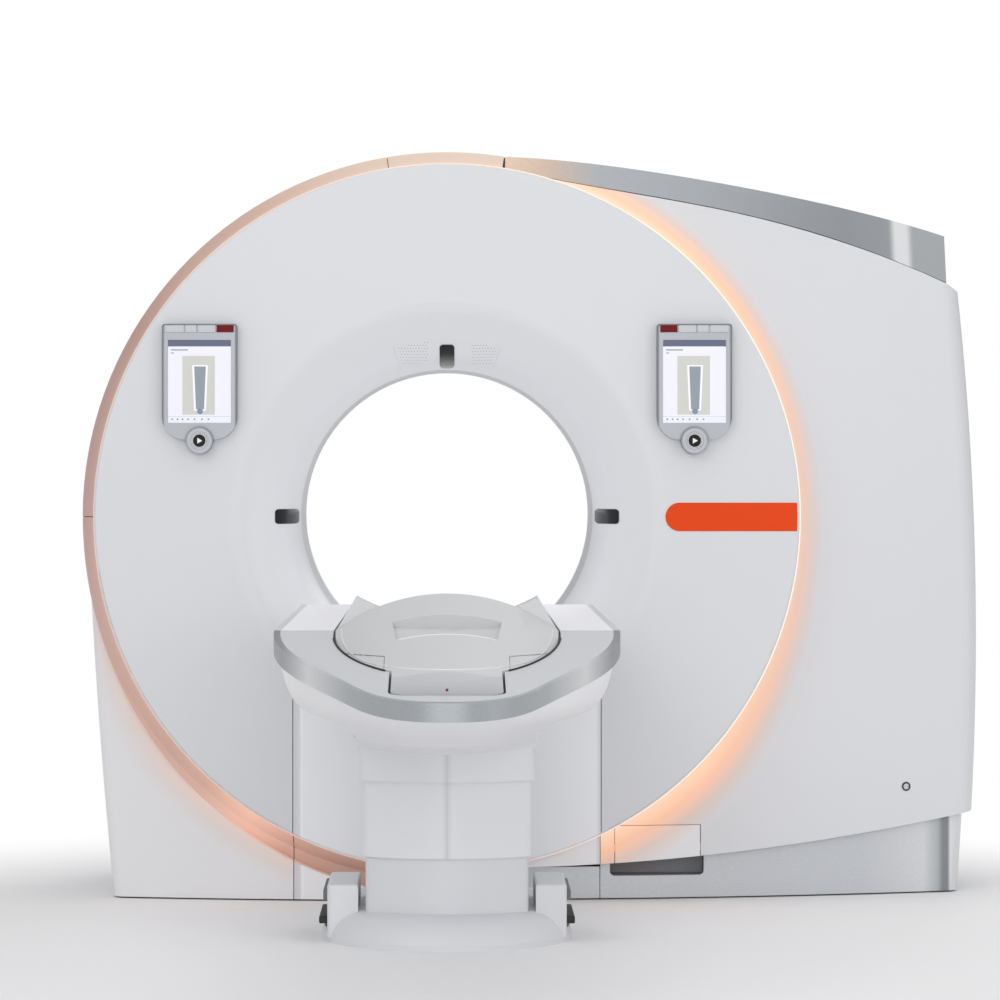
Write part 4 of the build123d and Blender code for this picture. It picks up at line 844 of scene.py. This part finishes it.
    def moulding(self, name, color, roughness, stops=()):
        """Moulded polyurethane with a fine eroded grain: even and matt, with a weak broad highlight.

        Stops of Y and colour shade a part that turns away from the light. The colour given is painted lighter
        or darker for the light or shade that the part lies in.
        """
        material, tree, shader, place = new_material(name, color, roughness)
        if stops:
            along = add(tree, "ShaderNodeSeparateXYZ", {0: place}).outputs["Y"]
            tree.links.new(shades(tree, along, stops), shader.inputs["Base Color"])
        fine_bump(tree, shader, place, 900.0, 0.00006)
        return material


class SCANNER_OT_stage(bpy.types.Operator):
    """Pale floor, soft studio lights and the camera at the photograph's place"""
    bl_idname = "scanner.stage"
    bl_label = "Studio"

    def execute(self, context):
        scene, stage = context.scene, context.scene.scanner_stage
        scene.view_settings.view_transform = "Standard"
        self.floor()
        self.world(scene, stage.fill)
        for name, place, target, size, power in (
                ("Key", (-3.4, -7.5, 5.2), (0, -0.6, 0.9), 4.5, 0.7 * stage.key),
                ("Fill", (5.5, -6.0, 2.6), (0.4, -0.4, 0.9), 3.5, 0.45 * stage.key),
                ("Top", (0.6, -1.2, 6.0), (0.3, -0.6, 0.5), 4.0, 0.45 * stage.key),
                ("Front", (0.0, -12.0, 2.0), (0, -0.5, 0.8), 5.0, 1.9 * stage.key),
                ("Back", (2.0, 6.5, 4.2), (0, 0, 1.0), 4.0, 0.6 * stage.key)):
            self.lamp(name, place, target, size, power)
        view = bpy.data.cameras.new("Front camera")
        view.lens = 138.456
        view.sensor_width = 36.0
        view.shift_x = 0.053
        view.shift_y = -0.030
        eye = bpy.data.objects.new("Front camera", view)
        eye.location = (0.0, -10.44, 1.127)
        eye.rotation_euler = (math.pi / 2, 0, 0)
        scene.collection.objects.link(eye)
        scene.camera = eye
        return {"FINISHED"}

    def floor(self):
        """Flat disc of floor, white far away and a matt near white that keeps the shadow by the object."""
        reach, sides = 40, 96
        turn = np.linspace(0, 2 * math.pi, sides, endpoint=False)
        points = np.column_stack([reach * np.cos(turn), reach * np.sin(turn), np.zeros(sides)])
        mesh = bpy.data.meshes.new("floor")
        mesh.from_pydata(points.tolist(), [], [list(range(sides))])
        floor = bpy.data.objects.new("floor", mesh)
        bpy.context.scene.collection.objects.link(floor)
        material = bpy.data.materials.new("Studio floor")
        material.use_nodes = True
        tree = material.node_tree
        shader = tree.nodes["Principled BSDF"]
        shader.inputs["Base Color"].default_value = linear("#f6f6f6")
        shader.inputs["Roughness"].default_value = 0.9
        place = add(tree, "ShaderNodeTexCoord").outputs["Object"]
        away = add(tree, "ShaderNodeVectorMath", {0: place, 1: (0.2, -1.2, 0)}, operation="DISTANCE")
        far = add(tree, "ShaderNodeMapRange",
                  {"Value": away.outputs["Value"], "From Min": 1.6, "From Max": 3.0},
                  interpolation_type="SMOOTHSTEP")
        rays = add(tree, "ShaderNodeLightPath").outputs
        seen = add(tree, "ShaderNodeMath", {0: rays["Is Camera Ray"], 1: rays["Is Glossy Ray"]},
                   operation="MAXIMUM")
        share = add(tree, "ShaderNodeMath", {0: far.outputs[0], 1: seen.outputs[0]}, operation="MULTIPLY")
        white = add(tree, "ShaderNodeEmission", {"Color": (1, 1, 1, 1), "Strength": 1.0})
        mixed = add(tree, "ShaderNodeMixShader",
                    {0: share.outputs[0], 1: shader.outputs[0], 2: white.outputs[0]})
        tree.links.new(mixed.outputs[0], tree.nodes["Material Output"].inputs["Surface"])
        mesh.materials.append(material)

    def world(self, scene, strength):
        """Even pale light all round; the camera sees it as plain white."""
        world = bpy.data.worlds.new("Studio")
        scene.world = world
        world.use_nodes = True
        tree = world.node_tree
        ambient = tree.nodes["Background"]
        ambient.inputs["Color"].default_value = linear("#f6f6f8")
        ambient.inputs["Strength"].default_value = strength
        rays = add(tree, "ShaderNodeLightPath").outputs
        plain = add(tree, "ShaderNodeBackground", {"Color": (1, 1, 1, 1), "Strength": 1.0})
        seen = add(tree, "ShaderNodeMath", {0: rays["Is Camera Ray"], 1: rays["Is Transmission Ray"]},
                   operation="MAXIMUM")
        mixed = add(tree, "ShaderNodeMixShader",
                    {0: seen.outputs[0], 1: ambient.outputs[0], 2: plain.outputs[0]})
        tree.links.new(mixed.outputs[0], tree.nodes["World Output"].inputs["Surface"])

    def lamp(self, name, place, target, size, power):
        """One square soft light, aimed from its place at a target."""
        light = bpy.data.lights.new(name, "AREA")
        light.shape = "SQUARE"
        light.size = size
        light.energy = power
        made = bpy.data.objects.new(name, light)
        made.location = place
        aim = np.array(target, float) - np.array(place, float)
        tip = math.atan2(math.hypot(aim[0], aim[1]), -aim[2])
        made.rotation_euler = (tip, 0, math.atan2(-aim[0], aim[1]))
        bpy.context.scene.collection.objects.link(made)


class SCANNER_PT_panel(bpy.types.Panel):
    """Lists the steps in the sidebar"""
    bl_idname = "SCANNER_PT_panel"
    bl_label = "CT scanner"
    bl_space_type = "VIEW_3D"
    bl_region_type = "UI"
    bl_category = "CT scanner"

    def draw(self, context):
        for step in STEPS:
            self.layout.operator(step.bl_idname)
        for group in (context.scene.scanner_colours, context.scene.scanner_trim, context.scene.scanner_stage):
            for name in group.__annotations__:
                self.layout.prop(group, name)


STEPS = (SCANNER_OT_covers, SCANNER_OT_metal, SCANNER_OT_trim, SCANNER_OT_panels, SCANNER_OT_table,
         SCANNER_OT_stage)
GROUPS = (("scanner_colours", ScannerColours), ("scanner_trim", ScannerTrim), ("scanner_stage", ScannerStage))


def register():
    """Registers the settings, the steps and the panel."""
    for name, group in GROUPS:
        bpy.utils.register_class(group)
        setattr(bpy.types.Scene, name, bpy.props.PointerProperty(type=group))
    for step in (*STEPS, SCANNER_PT_panel):
        bpy.utils.register_class(step)


def unregister():
    """Takes them away again, last first."""
    for step in (SCANNER_PT_panel, *reversed(STEPS)):
        bpy.utils.unregister_class(step)
    for name, group in reversed(GROUPS):
        delattr(bpy.types.Scene, name)
        bpy.utils.unregister_class(group)


def main():
    """Runs every step in order."""
    register()
    bpy.ops.scanner.covers()
    bpy.ops.scanner.metal()
    bpy.ops.scanner.trim()
    bpy.ops.scanner.panels()
    bpy.ops.scanner.table()
    bpy.ops.scanner.stage()


if __name__ == "__main__":
    main()
